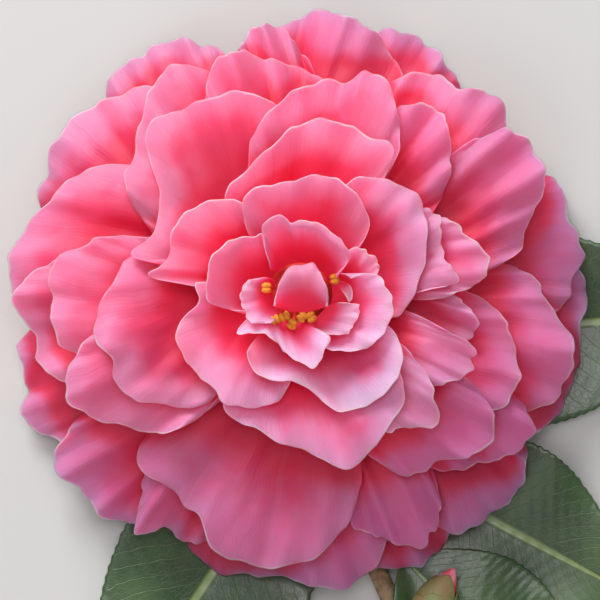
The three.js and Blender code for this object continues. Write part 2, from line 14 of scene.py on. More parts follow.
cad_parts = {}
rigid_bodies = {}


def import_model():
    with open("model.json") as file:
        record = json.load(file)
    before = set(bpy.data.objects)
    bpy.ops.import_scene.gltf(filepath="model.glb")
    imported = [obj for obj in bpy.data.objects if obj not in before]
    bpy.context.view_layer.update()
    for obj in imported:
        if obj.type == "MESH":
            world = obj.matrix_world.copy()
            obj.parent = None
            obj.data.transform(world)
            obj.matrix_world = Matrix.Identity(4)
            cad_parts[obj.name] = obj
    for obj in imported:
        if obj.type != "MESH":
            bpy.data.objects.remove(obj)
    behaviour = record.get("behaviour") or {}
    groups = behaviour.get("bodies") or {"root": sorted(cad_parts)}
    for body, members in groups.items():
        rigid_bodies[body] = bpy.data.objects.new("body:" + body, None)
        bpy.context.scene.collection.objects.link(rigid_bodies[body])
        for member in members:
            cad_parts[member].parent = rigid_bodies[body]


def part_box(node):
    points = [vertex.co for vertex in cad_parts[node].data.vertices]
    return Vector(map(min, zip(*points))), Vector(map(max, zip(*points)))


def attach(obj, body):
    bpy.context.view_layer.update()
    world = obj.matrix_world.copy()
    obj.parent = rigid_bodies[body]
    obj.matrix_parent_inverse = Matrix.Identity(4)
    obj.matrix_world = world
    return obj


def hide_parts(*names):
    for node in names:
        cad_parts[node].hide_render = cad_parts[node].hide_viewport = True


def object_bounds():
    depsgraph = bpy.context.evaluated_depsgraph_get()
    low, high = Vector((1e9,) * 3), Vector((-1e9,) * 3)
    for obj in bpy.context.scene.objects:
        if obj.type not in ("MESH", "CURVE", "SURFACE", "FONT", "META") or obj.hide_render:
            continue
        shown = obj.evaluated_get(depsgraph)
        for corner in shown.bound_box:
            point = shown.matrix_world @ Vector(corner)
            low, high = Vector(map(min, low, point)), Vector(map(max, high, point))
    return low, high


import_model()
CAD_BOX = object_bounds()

bl_info = {
    "name": "Cut camellia bloom",
    "version": (1, 0, 0),
    "blender": (4, 5, 0),
    "location": "View3D > Sidebar > Camellia",
    "description": "Models a double camellia bloom with its twig, leaves and bud",
    "category": "Add Mesh",
}

MM = 0.001
SEAT_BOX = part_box("receptacle")
AXIS = (SEAT_BOX[0] + SEAT_BOX[1]) / 2 / MM  # where the bloom's axis meets the floor, in millimetres
AXIS.z = 0

# The bloom's plan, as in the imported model. A petal's narrow foot is its claw.
PETAL_SPACING = 1.05
CLAW_WIDTH = 4.0
CLAW_PITCH = 0.33  # how much higher each petal's claw sits than the last one's
CLAW_SWING = 32  # how far to either side a claw looks for a free place
CLAW_TRY = 4
SEAT_GAP = 0.3
CAD_PETAL_HALF = 0.275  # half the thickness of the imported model's petals
RECEPTACLE = {"foot": 7.6, "foot_width": 8.0, "shoulder": 11.0, "wide": 12.5, "top": 27.0, "narrow": 4.2}
SCARS = {"round": 8, "twist": 0.25, "apart": 2.2, "depth": 0.35}
CALYX = {"sepals": 10, "radius": 12.0, "stalk": 2.2, "foot": 4.4, "depth": 4.6, "curve": 2.2, "rim": 9.6}
TWIG = {"radius": 2.1, "length": 68.0, "azimuth": -74.0}
LEAF_THICKNESS = 1.0
LEAF_FLOOR = 0.56  # how high a leaf's middle lies where it lies on the floor
LEAF_FOLD = 0.16
LEAF_TEETH = 34
LEAF_QUILTS = 22  # how many swellings between side veins a leaf has along its length
PETIOLE = {"length": 8.0, "half_width": 1.1}
FLANK = 0.07  # how far a petal's sides bulge, as a share of its length
CLAW_BOW = 1.0  # how far the tongue's claw bows forward
LIFT_SLOPE = 0.35  # how fast a lift eases off round the place that needs it
LIFT_ROUNDS = 8
LIFT_SMOOTHING = 4
TOP_MARGIN = 0.4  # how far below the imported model's top the petals stay

# Height of the rim, slopes at claw and rim, cupping of the sides, steps across and along, and width of
# the claw.
Whorl = namedtuple("Whorl", "height rise fall cup steps claw", defaults=(4,))
WHORLS = {
    "back": Whorl(5, 0.1, -0.3, 0, (40, 20)),
    "outer": Whorl(16, 0.3, -0.3, 1, (44, 20)),
    "middle": Whorl(25, 0.4, -0.2, 1.5, (42, 18)),
    "inner": Whorl(33, 0.4, 0.1, 1, (40, 16)),
    "cup": Whorl(39, 0.5, 0.5, 1, (40, 16), 12),
    "heart": Whorl(37, 0.6, 0.5, 0, (32, 14), 6),
    "tongue": Whorl(37, 1.2, -0.4, -1, (20, 12)),
}

# Each petal's rim from its right shoulder round to its left, as azimuth and reach, how far its right
# shoulder, middle and left shoulder are raised off the whorl's height, where its claw ends on either
# side if that isn't on the receptacle, and the folds that it shows: their places from -1 on the right
# to 1 on the left, heights and widths.
Petal = namedtuple("Petal", "whorl rim lift claw folds", defaults=((0, 0, 0), None, ()))
PETALS = (
    Petal("back", ((-84, 46), (-77, 54), (-70, 55.5), (-64, 56.5), (-58, 54), (-53, 46))),
    Petal("back", (
        (-120, 44), (-113, 53.5), (-106, 55.5), (-102, 54.5), (-94, 54.5), (-80, 56.5), (-74, 54),
        (-68, 46),
    )),
    Petal("back", ((-64, 46), (-58, 53.5), (-51, 55.5), (-44, 56), (-37, 54), (-32, 50), (-28, 43))),
    Petal("back", (
        (-37, 44), (-30, 52), (-22, 55), (-15, 55.5), (-10.5, 53.7), (-4, 54.5), (1, 54.5), (7, 51),
        (12, 44),
    )),
    Petal("back", (
        (-9, 42), (-2, 50.5), (3, 52.5), (8, 54.5), (14, 53.3), (21, 53.8), (25, 52), (32, 45),
    )),
    Petal("back", ((44, 42), (51, 49), (57, 52), (63, 53.4), (71, 53.6), (75, 51), (82, 44))),
    Petal("back", (
        (57, 38), (64, 45.7), (72, 50.4), (80, 53.5), (85, 54.2), (90, 52.6), (95, 50.5), (102, 43),
    )),
    Petal("back", ((88, 44), (94, 50.5), (98, 51.5), (104, 48.3), (110, 41))),
    Petal("back", ((100, 40), (107, 48), (113, 52.2), (120, 55), (129, 55.2), (134, 53.5), (140, 46))),
    Petal("back", ((118, 40), (125, 47.5), (136, 52.5), (149, 55), (155, 54.2), (161, 52.6), (167, 45))),
    Petal("back", ((182, 46), (190, 54), (197, 55.5), (204, 57.8), (209, 56.2), (213, 52), (217, 44))),
    Petal("back", (
        (208, 46), (213, 55.5), (217, 57.3), (222, 56.2), (228, 56.5), (235, 53.6), (242, 46),
    )),
    Petal("back", ((230, 46), (236, 54.8), (241, 52), (245, 52), (250, 50), (256, 42))),
    Petal("outer", ((-79, 38), (-77, 45.5), (-73.5, 47), (-69, 51), (-63, 53), (-58, 50), (-53, 42))),
    Petal("outer", (
        (-139, 36), (-134, 44.5), (-125, 44.5), (-110, 50.5), (-98, 52.7), (-88, 50), (-79, 45),
        (-73, 39), (-70, 33),
    ), folds=(
        (-0.62, 1.8, 0.14), (-0.41, -1.9, 0.07), (-0.1, 1.1, 0.12), (0.12, -2.0, 0.08), (0.4, 1.0, 0.15),
    )),
    Petal("outer", (
        (-33, 42), (-27, 49), (-23, 52), (-17, 53.3), (-10, 51.8), (-2, 47), (5, 43), (10, 37),
    )),
    Petal("outer", ((-57, 38), (-49, 44.2), (-40, 48.5), (-31, 51.5), (-27, 48), (-22, 40))),
    Petal("outer", (
        (31, 43), (37, 49.5), (42, 52), (48, 51.5), (52, 49.5), (58, 48.5), (64, 46), (70, 42),
        (76, 36),
    )),
    Petal("outer", ((6, 34), (10, 41), (15, 44.5), (20.5, 48), (26, 51), (33, 52), (38, 50), (42, 43))),
    Petal("outer", (
        (135, 34), (142, 40.5), (147, 45), (156, 49), (166, 53), (175, 55), (181, 54), (187, 48),
        (192, 40),
    )),
    Petal("outer", (
        (170, 44), (177, 52), (183, 53.8), (188, 51.3), (195, 50.7), (200, 48.5), (205, 42), (208, 34),
    )),
    Petal("outer", (
        (105, 38), (113, 47), (118, 49.2), (124, 48.2), (132, 45), (140, 41), (148, 39), (155, 33),
        (160, 27),
    )),
    Petal("outer", ((78, 33), (84, 41), (90, 42.2), (98, 45), (106, 47.4), (112, 46), (118, 38))),
    Petal("middle", ((158, 29), (166, 41), (172, 46.3), (180, 46.5), (188, 46.8), (195, 44), (201, 36))),
    Petal("middle", (
        (188, 36), (196, 44), (201, 47.2), (206, 47.4), (213, 44.3), (223, 38.3), (230, 32), (232, 24),
    )),
    Petal("middle", (
        (162, 25), (168, 32.5), (176, 35), (191, 39), (201, 38.2), (208, 38.2), (219, 33.4),
        (229, 28.4), (231, 22),
    )),
    Petal("middle", (
        (90, 28), (97, 35.5), (103, 38), (112, 40), (125, 43), (135, 41), (139, 37), (144, 33),
        (155, 29.3), (161, 30), (167.5, 32.6), (168.5, 29.8), (166, 26),
    ), folds=((0.62, 1.3, 0.09), (0.42, -1.2, 0.08), (-0.2, -0.9, 0.1))),
    Petal("middle", (
        (25, 24), (32, 30.2), (40, 36.8), (46, 40.6), (50, 42.3), (55, 42.8), (60, 41), (66, 34),
    )),
    Petal("middle", (
        (55, 32), (62, 39.5), (69, 43), (74, 43), (77, 40.6), (81, 41), (87, 39), (93, 37), (101, 34),
        (107, 30.5), (113, 25),
    )),
    Petal("middle", (
        (-37, 34), (-31, 43.2), (-26, 44), (-18, 43.2), (-12, 41), (-6.5, 38.4), (-1, 34), (3, 30),
        (4, 26),
    )),
    Petal("middle", (
        (-72, 25), (-67, 33), (-60, 39.4), (-50, 42.3), (-43, 44.4), (-35, 45), (-31, 42), (-27, 35),
    )),
    Petal("inner", ((-24, 24), (-18, 28.8), (-16, 32.8), (-11, 33.6), (-5, 31.8), (1, 27)), (-4, -4, -4)),
    Petal("inner", (
        (-3, 26), (2, 32.6), (6, 35.5), (11, 35.5), (19, 33.3), (27, 30.4), (33, 25),
    ), (-4, -3, -2)),
    Petal("inner", (
        (-42, 24), (-37, 29), (-31, 32.5), (-27, 34.6), (-23.5, 35.3), (-21.8, 34.4), (-19.5, 35.2),
        (-17, 34), (-15.5, 31), (-14, 27),
    ), (-4, -3, -3)),
    Petal("inner", (
        (2, 25), (4, 29.2), (8, 29.3), (13, 27.6), (18, 27.6), (24, 28.9), (28, 29.5), (33, 28.8),
        (38, 25),
    ), (-2, -1, -1), folds=((-0.5, 1.6, 0.12), (-0.1, -1.2, 0.1), (0.35, 1.4, 0.12))),
    Petal("inner", (
        (-63, 26), (-58, 30.2), (-51, 32.3), (-46, 34.6), (-42, 35.1), (-38, 32.2), (-32, 27.5),
        (-27, 22),
    ), (-3, -2, -2)),
    Petal("inner", (
        (-128, 20), (-123, 26.4), (-108, 26.3), (-98, 28), (-82, 31.2), (-77, 33.5), (-65, 32.3),
        (-50, 28.8), (-40, 25), (-34, 20),
    ), (0, -1, -2)),
    Petal("inner", (
        (52, 24), (56.5, 32), (64, 31.8), (76, 33), (90, 32), (103, 27.6), (115, 24.5), (128, 23),
        (134, 18),
    )),
    Petal("inner", (
        (108, 15), (115, 17), (125, 20.8), (135, 24.2), (145, 26), (155, 26.2), (164, 25.6),
        (169, 26.3), (172.5, 28.8), (174.5, 27), (175.5, 22),
    )),
    Petal("inner", (
        (-18, 15), (-12, 19.4), (6, 22.4), (20, 24.8), (32, 27.6), (41, 28.4), (56, 26), (65, 23.4),
        (72, 17),
    )),
    Petal("inner", (
        (174, 19.4), (186, 19.4), (193, 22.8), (203, 24.6), (220, 24.6), (225, 23.8), (234, 25),
        (246, 23.6), (258, 20.7), (265, 17),
    )),
    Petal("cup", (
        (-132, 15), (-118, 17), (-95, 16.7), (-85, 17.8), (-77, 21), (-69, 23.5), (-47, 24.8),
        (-35, 23), (-24, 20), (-18, 15),
    ), (-5, -3, -5), folds=((-0.35, 1.3, 0.12), (-0.08, -1.3, 0.1), (0.3, 1.1, 0.14))),
    Petal("cup", (
        (38, 13), (42, 17.2), (52, 19.5), (66, 21.8), (79, 22), (90, 21), (120, 20.5), (128, 17),
    ), (-8, -1, -8)),
    Petal("cup", ((6, 11), (13, 15), (22, 15.5), (28, 15.3), (34, 14.7), (40, 13), (46, 9)), (-6, -4, -6)),
    Petal("cup", (
        (-61, 12), (-50, 14.2), (-38, 16.2), (-24, 17.4), (-10, 17.3), (0, 16.8), (8, 15.9), (13, 14.6),
        (16, 12.6), (14, 10),
    ), (-6, -4, -5)),
    Petal("cup", (
        (106, 8), (115, 11.6), (124, 13.5), (130, 13.8), (136, 15.4), (148, 16.9), (160, 17.6),
        (172, 17.8), (184, 17.2), (192, 14), (199, 9.5),
    ), (-12, -1, -8)),
    Petal("cup", (
        (28, 7.5), (33, 10.7), (41, 11.9), (50, 12.5), (65, 13), (80, 13.3), (92, 13.3), (98, 13.3),
        (102, 14.7), (109, 15), (116, 14.5), (122, 13.4), (129, 10.5), (136, 7.5),
    ), (-9, 0, -9)),
    Petal("heart", (
        (-56, 9), (-50, 10.1), (-42, 11.4), (-33, 11.8), (-20, 11.7), (-11, 11.4), (-12, 9.3),
    ), (-4, -3, -4), folds=((0.1, -0.5, 0.2),)),
    Petal("heart", (
        (210, 13.2), (213, 13.8), (219, 12), (232, 10.2), (246, 10.1), (256, 11.6), (262, 12.5),
        (269, 12.7), (276, 13.8), (281, 14.3), (287, 13.4), (294, 11.6), (306, 9.9),
    ), (-2, -4, -3), folds=((-0.3, -0.7, 0.08), (0.15, 0.8, 0.06), (0.3, -0.8, 0.05), (0.46, 0.8, 0.06))),
    Petal("heart", (
        (162, 8), (168, 10.4), (180, 10.9), (192, 11.2), (205, 11.1), (215, 10.2), (226, 7.8),
    ), (-5, -4, -5), folds=((0, -0.5, 0.3),)),
)
TONGUE = Petal(
    "tongue",
    (
        (-26, 5.4), (-5, 5.3), (20, 5.2), (40, 5.3), (57, 5.7), (67, 6.4), (76, 5.8), (92, 5.5),
        (112, 5.7), (135, 4.9), (165, 4.4), (190, 4.6), (208, 5.0),
    ),
    (0, 0, 0),
    ((4.0, -2.6), (-4.0, -2.6)),
)
# Each anther's place beside the axis, and how far it stands above the stamens' height.
ANTHERS = (
    (-6.1, 0.9, 0.4), (-4.5, -4.9, 0), (-2.8, -4.3, 0), (-1.4, -5.7, 0), (0.4, -4.4, 0), (2.0, -4.4, 0),
    (6.3, 2.5, 2),
)
# The narrow pale slip beside the right-hand anther.
CURL = {
    "foot": (6.3, 1.9), "tip": (9.2, -1.5), "half_width": 0.9, "height": 35.6, "rise": 2.2, "bow": 0.9,
    "hollow": 0.9,
}
STAMENS = {"disc": 3.8, "thickness": 0.9, "foot": 3.1, "height": 36.5}
LOBE = {"off": 0.42, "width": 0.6, "depth": 0.7}  # one of an anther's two lobes
Leaf = namedtuple("Leaf", "at side azimuth length half_width")
LEAVES = (
    Leaf(12, 1, 6, 74, 19),
    Leaf(22, -1, -124, 78, 19),
    Leaf(31, 1, -28, 62, 17),
    Leaf(46, 1, -46, 58, 16),
)
BUD = {"at": 67.0, "azimuth": 60.0, "length": 14.0, "radius": 4.2}
BUD_RINGS = ((0.42, 0.30), (0.60, 0.27), (0.76, 0.24), (0.86, 0.22))  # each ring's reach and half width


class Bed:
    """A map of how low the middle of the next thin piece may lie, cell by cell."""

    cell = 0.5
    reach = 125.0

    def __init__(self, floor):
        side = round(2 * self.reach / self.cell)
        self.top = np.full((side, side), floor)

    def cells(self, points):
        place = np.rint((points[..., :2] + self.reach) / self.cell).astype(int)
        return place[..., 1], place[..., 0]

    def under(self, points):
        return self.top[self.cells(points)]

    def lay(self, points, clearance):
        """Lays points that are spread over a piece, with a ball of clearance rolled over them."""
        tops = np.full_like(self.top, -np.inf)
        np.maximum.at(tops, self.cells(points), points[..., 2])
        steps = int(clearance / self.cell)
        for row in range(-steps, steps + 1):
            for column in range(-steps, steps + 1):
                rise = clearance**2 - (row * self.cell) ** 2 - (column * self.cell) ** 2
                if rise >= 0:
                    moved = np.roll(tops, (row, column), (0, 1))
                    np.maximum(self.top, moved + math.sqrt(rise), out=self.top)


BED = Bed(LEAF_THICKNESS / 2 + 0.06)


def polar(azimuth, reach):
    angle = np.radians(azimuth)
    return np.stack([reach * np.cos(angle), reach * np.sin(angle)], -1)


def rim_curve(rim, count):
    """count + 1 points, evenly spread along a centripetal curve through the rim's points."""
    knots = np.array([polar(azimuth, reach) for azimuth, reach in rim])
    knots = np.vstack([2 * knots[0] - knots[1], knots, 2 * knots[-1] - knots[-2]])
    fine = []
    for p0, p1, p2, p3 in zip(knots, knots[1:], knots[2:], knots[3:]):
        d0, d1, d2 = (math.sqrt(np.linalg.norm(b - a)) for a, b in ((p0, p1), (p1, p2), (p2, p3)))
        m1 = ((p1 - p0) / d0 - (p2 - p0) / (d0 + d1) + (p2 - p1) / d1) * d1
        m2 = ((p2 - p1) / d1 - (p3 - p1) / (d1 + d2) + (p3 - p2) / d2) * d1
        for t in np.linspace(0, 1, 24, endpoint=False):
            t2, t3 = t * t, t * t * t
            near = (2 * t3 - 3 * t2 + 1) * p1 + (t3 - 2 * t2 + t) * m1
            fine.append(near + (3 * t2 - 2 * t3) * p2 + (t3 - t2) * m2)
    fine = np.array(fine + [knots[-2]])
    run = np.concatenate([[0], np.cumsum(np.linalg.norm(np.diff(fine, axis=0), axis=1))])
    even = np.linspace(0, run[-1], count + 1)
    return np.stack([np.interp(even, run, fine[:, k]) for k in range(2)], -1)


def spread(sheet):
    """Points over a sheet, closer together than a cell of the bed, and each one's row and column."""
    rows, columns = sheet.shape[0] - 1, sheet.shape[1] - 1
    across = np.linalg.norm(np.diff(sheet, axis=1), axis=2).max()
    along = np.linalg.norm(np.diff(sheet, axis=0), axis=2).max()
    cuts = [max(1, math.ceil(step / (0.7 * Bed.cell))) for step in (along, across)]
    v = np.linspace(0, rows, rows * cuts[0] + 1)
    u = np.linspace(0, columns, columns * cuts[1] + 1)
    j = np.minimum(v.astype(int), rows - 1)
    i = np.minimum(u.astype(int), columns - 1)
    fv = (v - j)[:, None, None]
    fu = (u - i)[None, :, None]
    j, i = j[:, None], i[None, :]
    low = sheet[j, i] * (1 - fu) + sheet[j, i + 1] * fu
    high = sheet[j + 1, i] * (1 - fu) + sheet[j + 1, i + 1] * fu
    cells = (np.broadcast_to(index, (v.size, u.size)) for index in (j, i))
    return low * (1 - fv) + high * fv, *cells


def lift_clear(sheet):
    """Raises a sheet until it clears the bed, easing off round each lift so that it drapes."""
    for _ in range(LIFT_ROUNDS):
        points, j, i = spread(sheet)
        lack = BED.under(points) - points[..., 2]
        lift = np.zeros(sheet.shape[:2])
        for down, right in ((0, 0), (0, 1), (1, 0), (1, 1)):
            np.maximum.at(lift, (j + down, i + right), lack)
        if lift.max() < 0.01:
            return
        raised = lift > 0
        spots = sheet[raised][:, :2]
        away = np.linalg.norm(sheet[:, :, None, :2] - spots[None, None], axis=-1)
        eased = np.maximum(0, (lift[raised] - LIFT_SLOPE * away).max(-1))
        for _ in range(LIFT_SMOOTHING):
            wide = np.pad(eased, 1, mode="edge")
            mean = (wide[:-2, 1:-1] + wide[2:, 1:-1] + wide[1:-1, :-2] + wide[1:-1, 2:]) / 4
            eased = np.maximum(mean, lift)
        sheet[..., 2] += eased


def claw_ring(height):
    """How far from the axis a petal's claw starts, at a height on the receptacle's cone."""
    shoulder, top = RECEPTACLE["shoulder"], RECEPTACLE["top"]
    share = min(1, max(0, (height - shoulder) / (top - shoulder)))
    wide, narrow = RECEPTACLE["wide"], RECEPTACLE["narrow"]
    return wide + (narrow - wide) * share + SEAT_GAP + CAD_PETAL_HALF


def claw_azimuth(middle, ring):
    """The lowest free place on the receptacle within CLAW_SWING of a petal's middle."""
    half = math.degrees((CLAW_WIDTH / 2 + PETAL_SPACING) / ring)
    sides = np.linspace(-1, 1, 9) * half

    def cost(swing):
        return BED.under(polar(middle + swing + sides, ring + 0.5)).max() + 0.02 * abs(swing)

    return middle + min(range(-CLAW_SWING, CLAW_SWING + 1, CLAW_TRY), key=cost)


def petal_sheet(petal, claw_height):
    """The petal's middle surface: rows from claw to rim, each from its right side to its left."""
    whorl = WHORLS[petal.whorl]
    columns, rows = whorl.steps
    rim = rim_curve(petal.rim, columns)
    u = np.linspace(-1, 1, columns + 1)[None, :]
    v = np.linspace(0, 1, rows + 1)[:, None]
    if petal.claw:
        right, left = np.array(petal.claw)
        root = right + (left - right) * ((u[0] + 1) / 2)[:, None]
        root = root + np.stack([0 * u[0], CLAW_BOW * (u[0] ** 2 - 1)], -1)
    else:
        ring = claw_ring(claw_height)
        middle = claw_azimuth((petal.rim[0][0] + petal.rim[-1][0]) / 2, ring)
        root = polar(middle + math.degrees(whorl.claw / 2 / ring) * u[0], ring)
    run = rim - root
    length = np.linalg.norm(run, axis=1)
    outwards = run[columns // 2]
    sideways = np.array([-outwards[1], outwards[0]]) * FLANK
    plan = root + run * v[..., None]
    plan = plan + sideways * (u * np.abs(u) * np.sin(math.pi * v))[..., None]
    side = np.where(u < 0, petal.lift[0], petal.lift[2])
    lift = petal.lift[1] + (side - petal.lift[1]) * u * u
    height = (
        claw_height * (1 + 2 * v) * (1 - v) ** 2
        + whorl.rise * length * v * (1 - v) ** 2
        + (whorl.height + lift) * v * v * (3 - 2 * v)
        + whorl.fall * length * v * v * (v - 1)
        + whorl.cup * u * u * v * v
    )
    return np.dstack([plan, height]), u, v, length


# Waves and curls along a rim, and nicks in its outline: how many half waves cross the petal, and how
# high or deep they are. A petal shorter than FULL_RUFFLE gets less of them.
RUFFLES = ((1.3, 1.4), (2.6, 1.2), (4.7, 1.0), (9.1, 0.3))
CURLS = ((1.7, 0.9), (4.1, 0.8), (8.3, 0.35), (15.7, 0.14))
NICKS = ((3.3, 0.4), (7.7, 0.36), (17.0, 0.22), (29.0, 0.12))
FULL_RUFFLE = 34
FOLD = 1.1
PUCKERS = 6
PUCKER = 0.11
MIDRIB = 0.6
MIDRIB_WIDTH = 0.12
DROOP = 0.5  # how far a large petal's rim rolls down
CURL_START = 0.72  # the share of the way to the rim at which it starts to curl
NICK_INSET = 0.65  # how much of its nicks' height a rim is drawn in by
ANY_PHASE = 6.3  # a wave's phase is drawn from 0 to this, in radians


def half_waves(u, parts, random, least=1.0):
    """Waves of each count and height given, with random phases, and heights cut to a random share."""
    total = np.zeros_like(u)
    for count, height in parts:
        share = random.uniform(least, 1) if least < 1 else 1
        total = total + height * share * np.sin(count * math.pi * u + random.uniform(0, ANY_PHASE))
    return total


def ruffle(sheet, u, v, size, shown, random):
    """Waves, folds and a curling rim, a shallow groove down the middle and nicks in the outline."""
    waves = half_waves(u, RUFFLES, random, 0.5)
    small = [
        (random.uniform(-0.85, 0.85), random.uniform(-1, 1) * FOLD, random.uniform(0.04, 0.12))
        for _ in range(random.integers(3, 6))
    ]
    folds = np.zeros_like(u)
    for spot, height, width in shown or small:
        folds = folds + height * np.exp(-(((u - spot) / width) ** 2))
    curl = half_waves(u, CURLS, random)
    sheet[..., 2] += (waves * v**2.5 + folds * v**1.5) * size
    sheet[..., 2] += curl * size * np.clip((v - CURL_START) / (1 - CURL_START), 0, 1) ** 2
    for _ in range(PUCKERS):
        wave = 2 * math.pi / random.uniform(4, 10) * polar(random.uniform(0, 360), 1)
        pucker = PUCKER * np.sin(sheet[..., :2] @ wave + random.uniform(0, ANY_PHASE))
        sheet[..., 2] += pucker * size * np.minimum(1, 2 * v)
    sheet[..., 2] -= DROOP * size * (v**7 + 0.5 * np.abs(u) ** 7 * v)
    sheet[..., 2] -= MIDRIB * size * np.exp(-((u / MIDRIB_WIDTH) ** 2)) * np.sin(math.pi * v) ** 2
    nicks = half_waves(u, NICKS, random)
    for _ in range(random.integers(1, 4)):
        width = random.uniform(0.03, 0.08)
        nicks = nicks - random.uniform(0.5, 1.6) * np.exp(-np.abs(u - random.uniform(-0.8, 0.8)) / width)
    out = sheet[-1, :, :2] - sheet[0, :, :2]
    out = out / np.linalg.norm(out, axis=1, keepdims=True)
    sheet[..., :2] += out * ((nicks - NICK_INSET * nicks.max()) * size * v**4)[..., None]


def edge_distance(sheet):
    """How far each point is from the rim and the upper half of the sides, in millimetres."""
    upper = sheet[len(sheet) // 2:]
    outline = np.concatenate([sheet[-1], upper[:, 0], upper[:, -1]])
    return np.linalg.norm(sheet[:, :, None] - outline[None, None], axis=-1).min(-1)


def bend_grid(bm, columns, rows, place):
    """Adds a flat grid and bends it: place gives a point in millimetres for shares across and along."""
    uv = bm.loops.layers.uv.verify()
    grid = bmesh.ops.create_grid(bm, x_segments=columns, y_segments=rows, size=1)
    share = {}
    for vert in grid["verts"]:
        share[vert] = ((1 - vert.co.x) / 2, (vert.co.y + 1) / 2)
        vert.co = (Vector(place(*share[vert])) + AXIS) * MM
    for face in {face for vert in share for face in vert.link_faces}:
        face.smooth = True
        for loop in face.loops:
            loop[uv].uv = share[loop.vert]
    return share


def sheet_mesh(name, sheet, **values):
    """A bent grid with the UV map that its skin's colours follow, and a value per point for each name."""
    rows, columns = sheet.shape[0] - 1, sheet.shape[1] - 1

    def cell(across, along):
        return round(along * rows), round(across * columns)

    bm = bmesh.new()
    bm.loops.layers.uv.new("UVMap")
    layers = {key: bm.verts.layers.float.new(key) for key in values}
    share = bend_grid(bm, columns, rows, lambda across, along: sheet[cell(across, along)])
    for vert, spot in share.items():
        for key, layer in layers.items():
            vert[layer] = float(values[key][cell(*spot)])
    return finish_mesh(name, bm)


def finish_mesh(name, bm):
    mesh = bpy.data.meshes.new(name)
    bm.to_mesh(mesh)
    bm.free()
    piece = bpy.data.objects.new(name, mesh)
    bpy.context.scene.collection.objects.link(piece)
    return piece


def dress(piece, material, node):
    """Gives a piece its material, hangs it on the root body and hides the imported part that it stands for.
    """
    piece.data.materials.append(material)
    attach(piece, "root")
    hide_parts(node)


def thicken(piece, thickness, rim_share=None):
    """Makes a sheet solid: with a rim_share, it thins to that share along the group named body."""
    solid = piece.modifiers.new("Thickness", "SOLIDIFY")
    solid.thickness = thickness
    if rim_share:
        solid.vertex_group = "body"
        solid.thickness_vertex_group = rim_share
    solid.offset = 0
    smooth = piece.modifiers.new("Smooth", "SUBSURF")
    smooth.levels = smooth.render_levels = 1


# Shader nodes

class Nodes:
    """Adds nodes to a tree, and hands back the socket that the next one needs."""

    def __init__(self, tree):
        self.tree = tree

    def add(self, kind, inputs, output=0, **settings):
        node = self.tree.nodes.new("ShaderNode" + kind)
        for key, value in settings.items():
            setattr(node, key, value)
        for key, value in inputs.items():
            if isinstance(value, bpy.types.NodeSocket):
                self.tree.links.new(value, node.inputs[key])
            else:
                node.inputs[key].default_value = value
        return node.outputs[output]

    def math(self, operation, first, second=0.0):
        return self.add("Math", {0: first, 1: second}, operation=operation)

    def times(self, first, second):
        return self.math("MULTIPLY", first, second)

    def plus(self, first, second):
        return self.math("ADD", first, second)

    def minus(self, first, second):
        return self.math("SUBTRACT", first, second)

    def mix(self, factor, first, second):
        return self.add("Mix", {0: factor, 6: first, 7: second}, output=2, data_type="RGBA")

    def ramp(self, value, start, end, low=0.0, high=1.0):
        inputs = {0: value, 1: start, 2: end, 3: low, 4: high}
        return self.add("MapRange", inputs, interpolation_type="SMOOTHSTEP")

    def noise(self, vector, scale, detail=2.0, roughness=0.5):
        inputs = {"Vector": vector, "Scale": scale, "Detail": detail, "Roughness": roughness}
        return self.add("TexNoise", inputs)

    def parts(self, vector):
        node = self.tree.nodes.new("ShaderNodeSeparateXYZ")
        self.tree.links.new(vector, node.inputs[0])
        return node.outputs

    def vector(self, x, y, z=0.0):
        return self.add("CombineXYZ", {0: x, 1: y, 2: z})

    def attribute(self, name):
        return self.add("Attribute", {}, output=2, attribute_name=name)

    def uv(self):
        return self.parts(self.add("UVMap", {}, uv_map="UVMap"))

    def place(self):
        """The point in the object's own coordinates."""
        return self.add("TexCoord", {}, output=3)


def node_group(name, colours, amounts, fill, outputs=("Height",)):
    """The shader group of this name, made once. A material that uses it gives a value to each input."""
    if name in bpy.data.node_groups:
        return bpy.data.node_groups[name]
    tree = bpy.data.node_groups.new(name, "ShaderNodeTree")
    for keys, side, kind in (
        (colours, "INPUT", "NodeSocketColor"), (amounts, "INPUT", "NodeSocketFloat"),
        (("Color",), "OUTPUT", "NodeSocketColor"), (outputs, "OUTPUT", "NodeSocketFloat"),
    ):
        for key in keys:
            tree.interface.new_socket(key, in_out=side, socket_type=kind)
    inlet = tree.nodes.new("NodeGroupInput").outputs
    outlet = tree.nodes.new("NodeGroupOutput").inputs
    for key, value in fill(Nodes(tree), inlet).items():
        tree.links.new(value, outlet[key])
    return tree


# The petals' amounts: where the red of the throat starts to fade and where it ends, the red being partly
# the petals' own colour and partly painted shade; how wide the pale rim is in millimetres; how pale it is,
# partly their own paler colour and partly a painted reflection of the sky; how strongly the hollows are
# painted with shade in deep red; how bright the painted highlight along the rim is; and how strong the
# veins are.
PETAL_AMOUNTS = ("Throat start", "Throat end", "Rim width", "Paleness", "Hollow shade", "Line", "Veins")
PETAL_SKINS = {
    "Outer": (0.4, 1.0, 12.0, 0.6, 0.92, 0.35, 0.2),
    "Inner": (0.25, 0.9, 10.0, 0.85, 0.8, 0.5, 0.16),
    "Heart": (0.1, 0.65, 10.0, 1.0, 0.35, 0.7, 0.12),
}


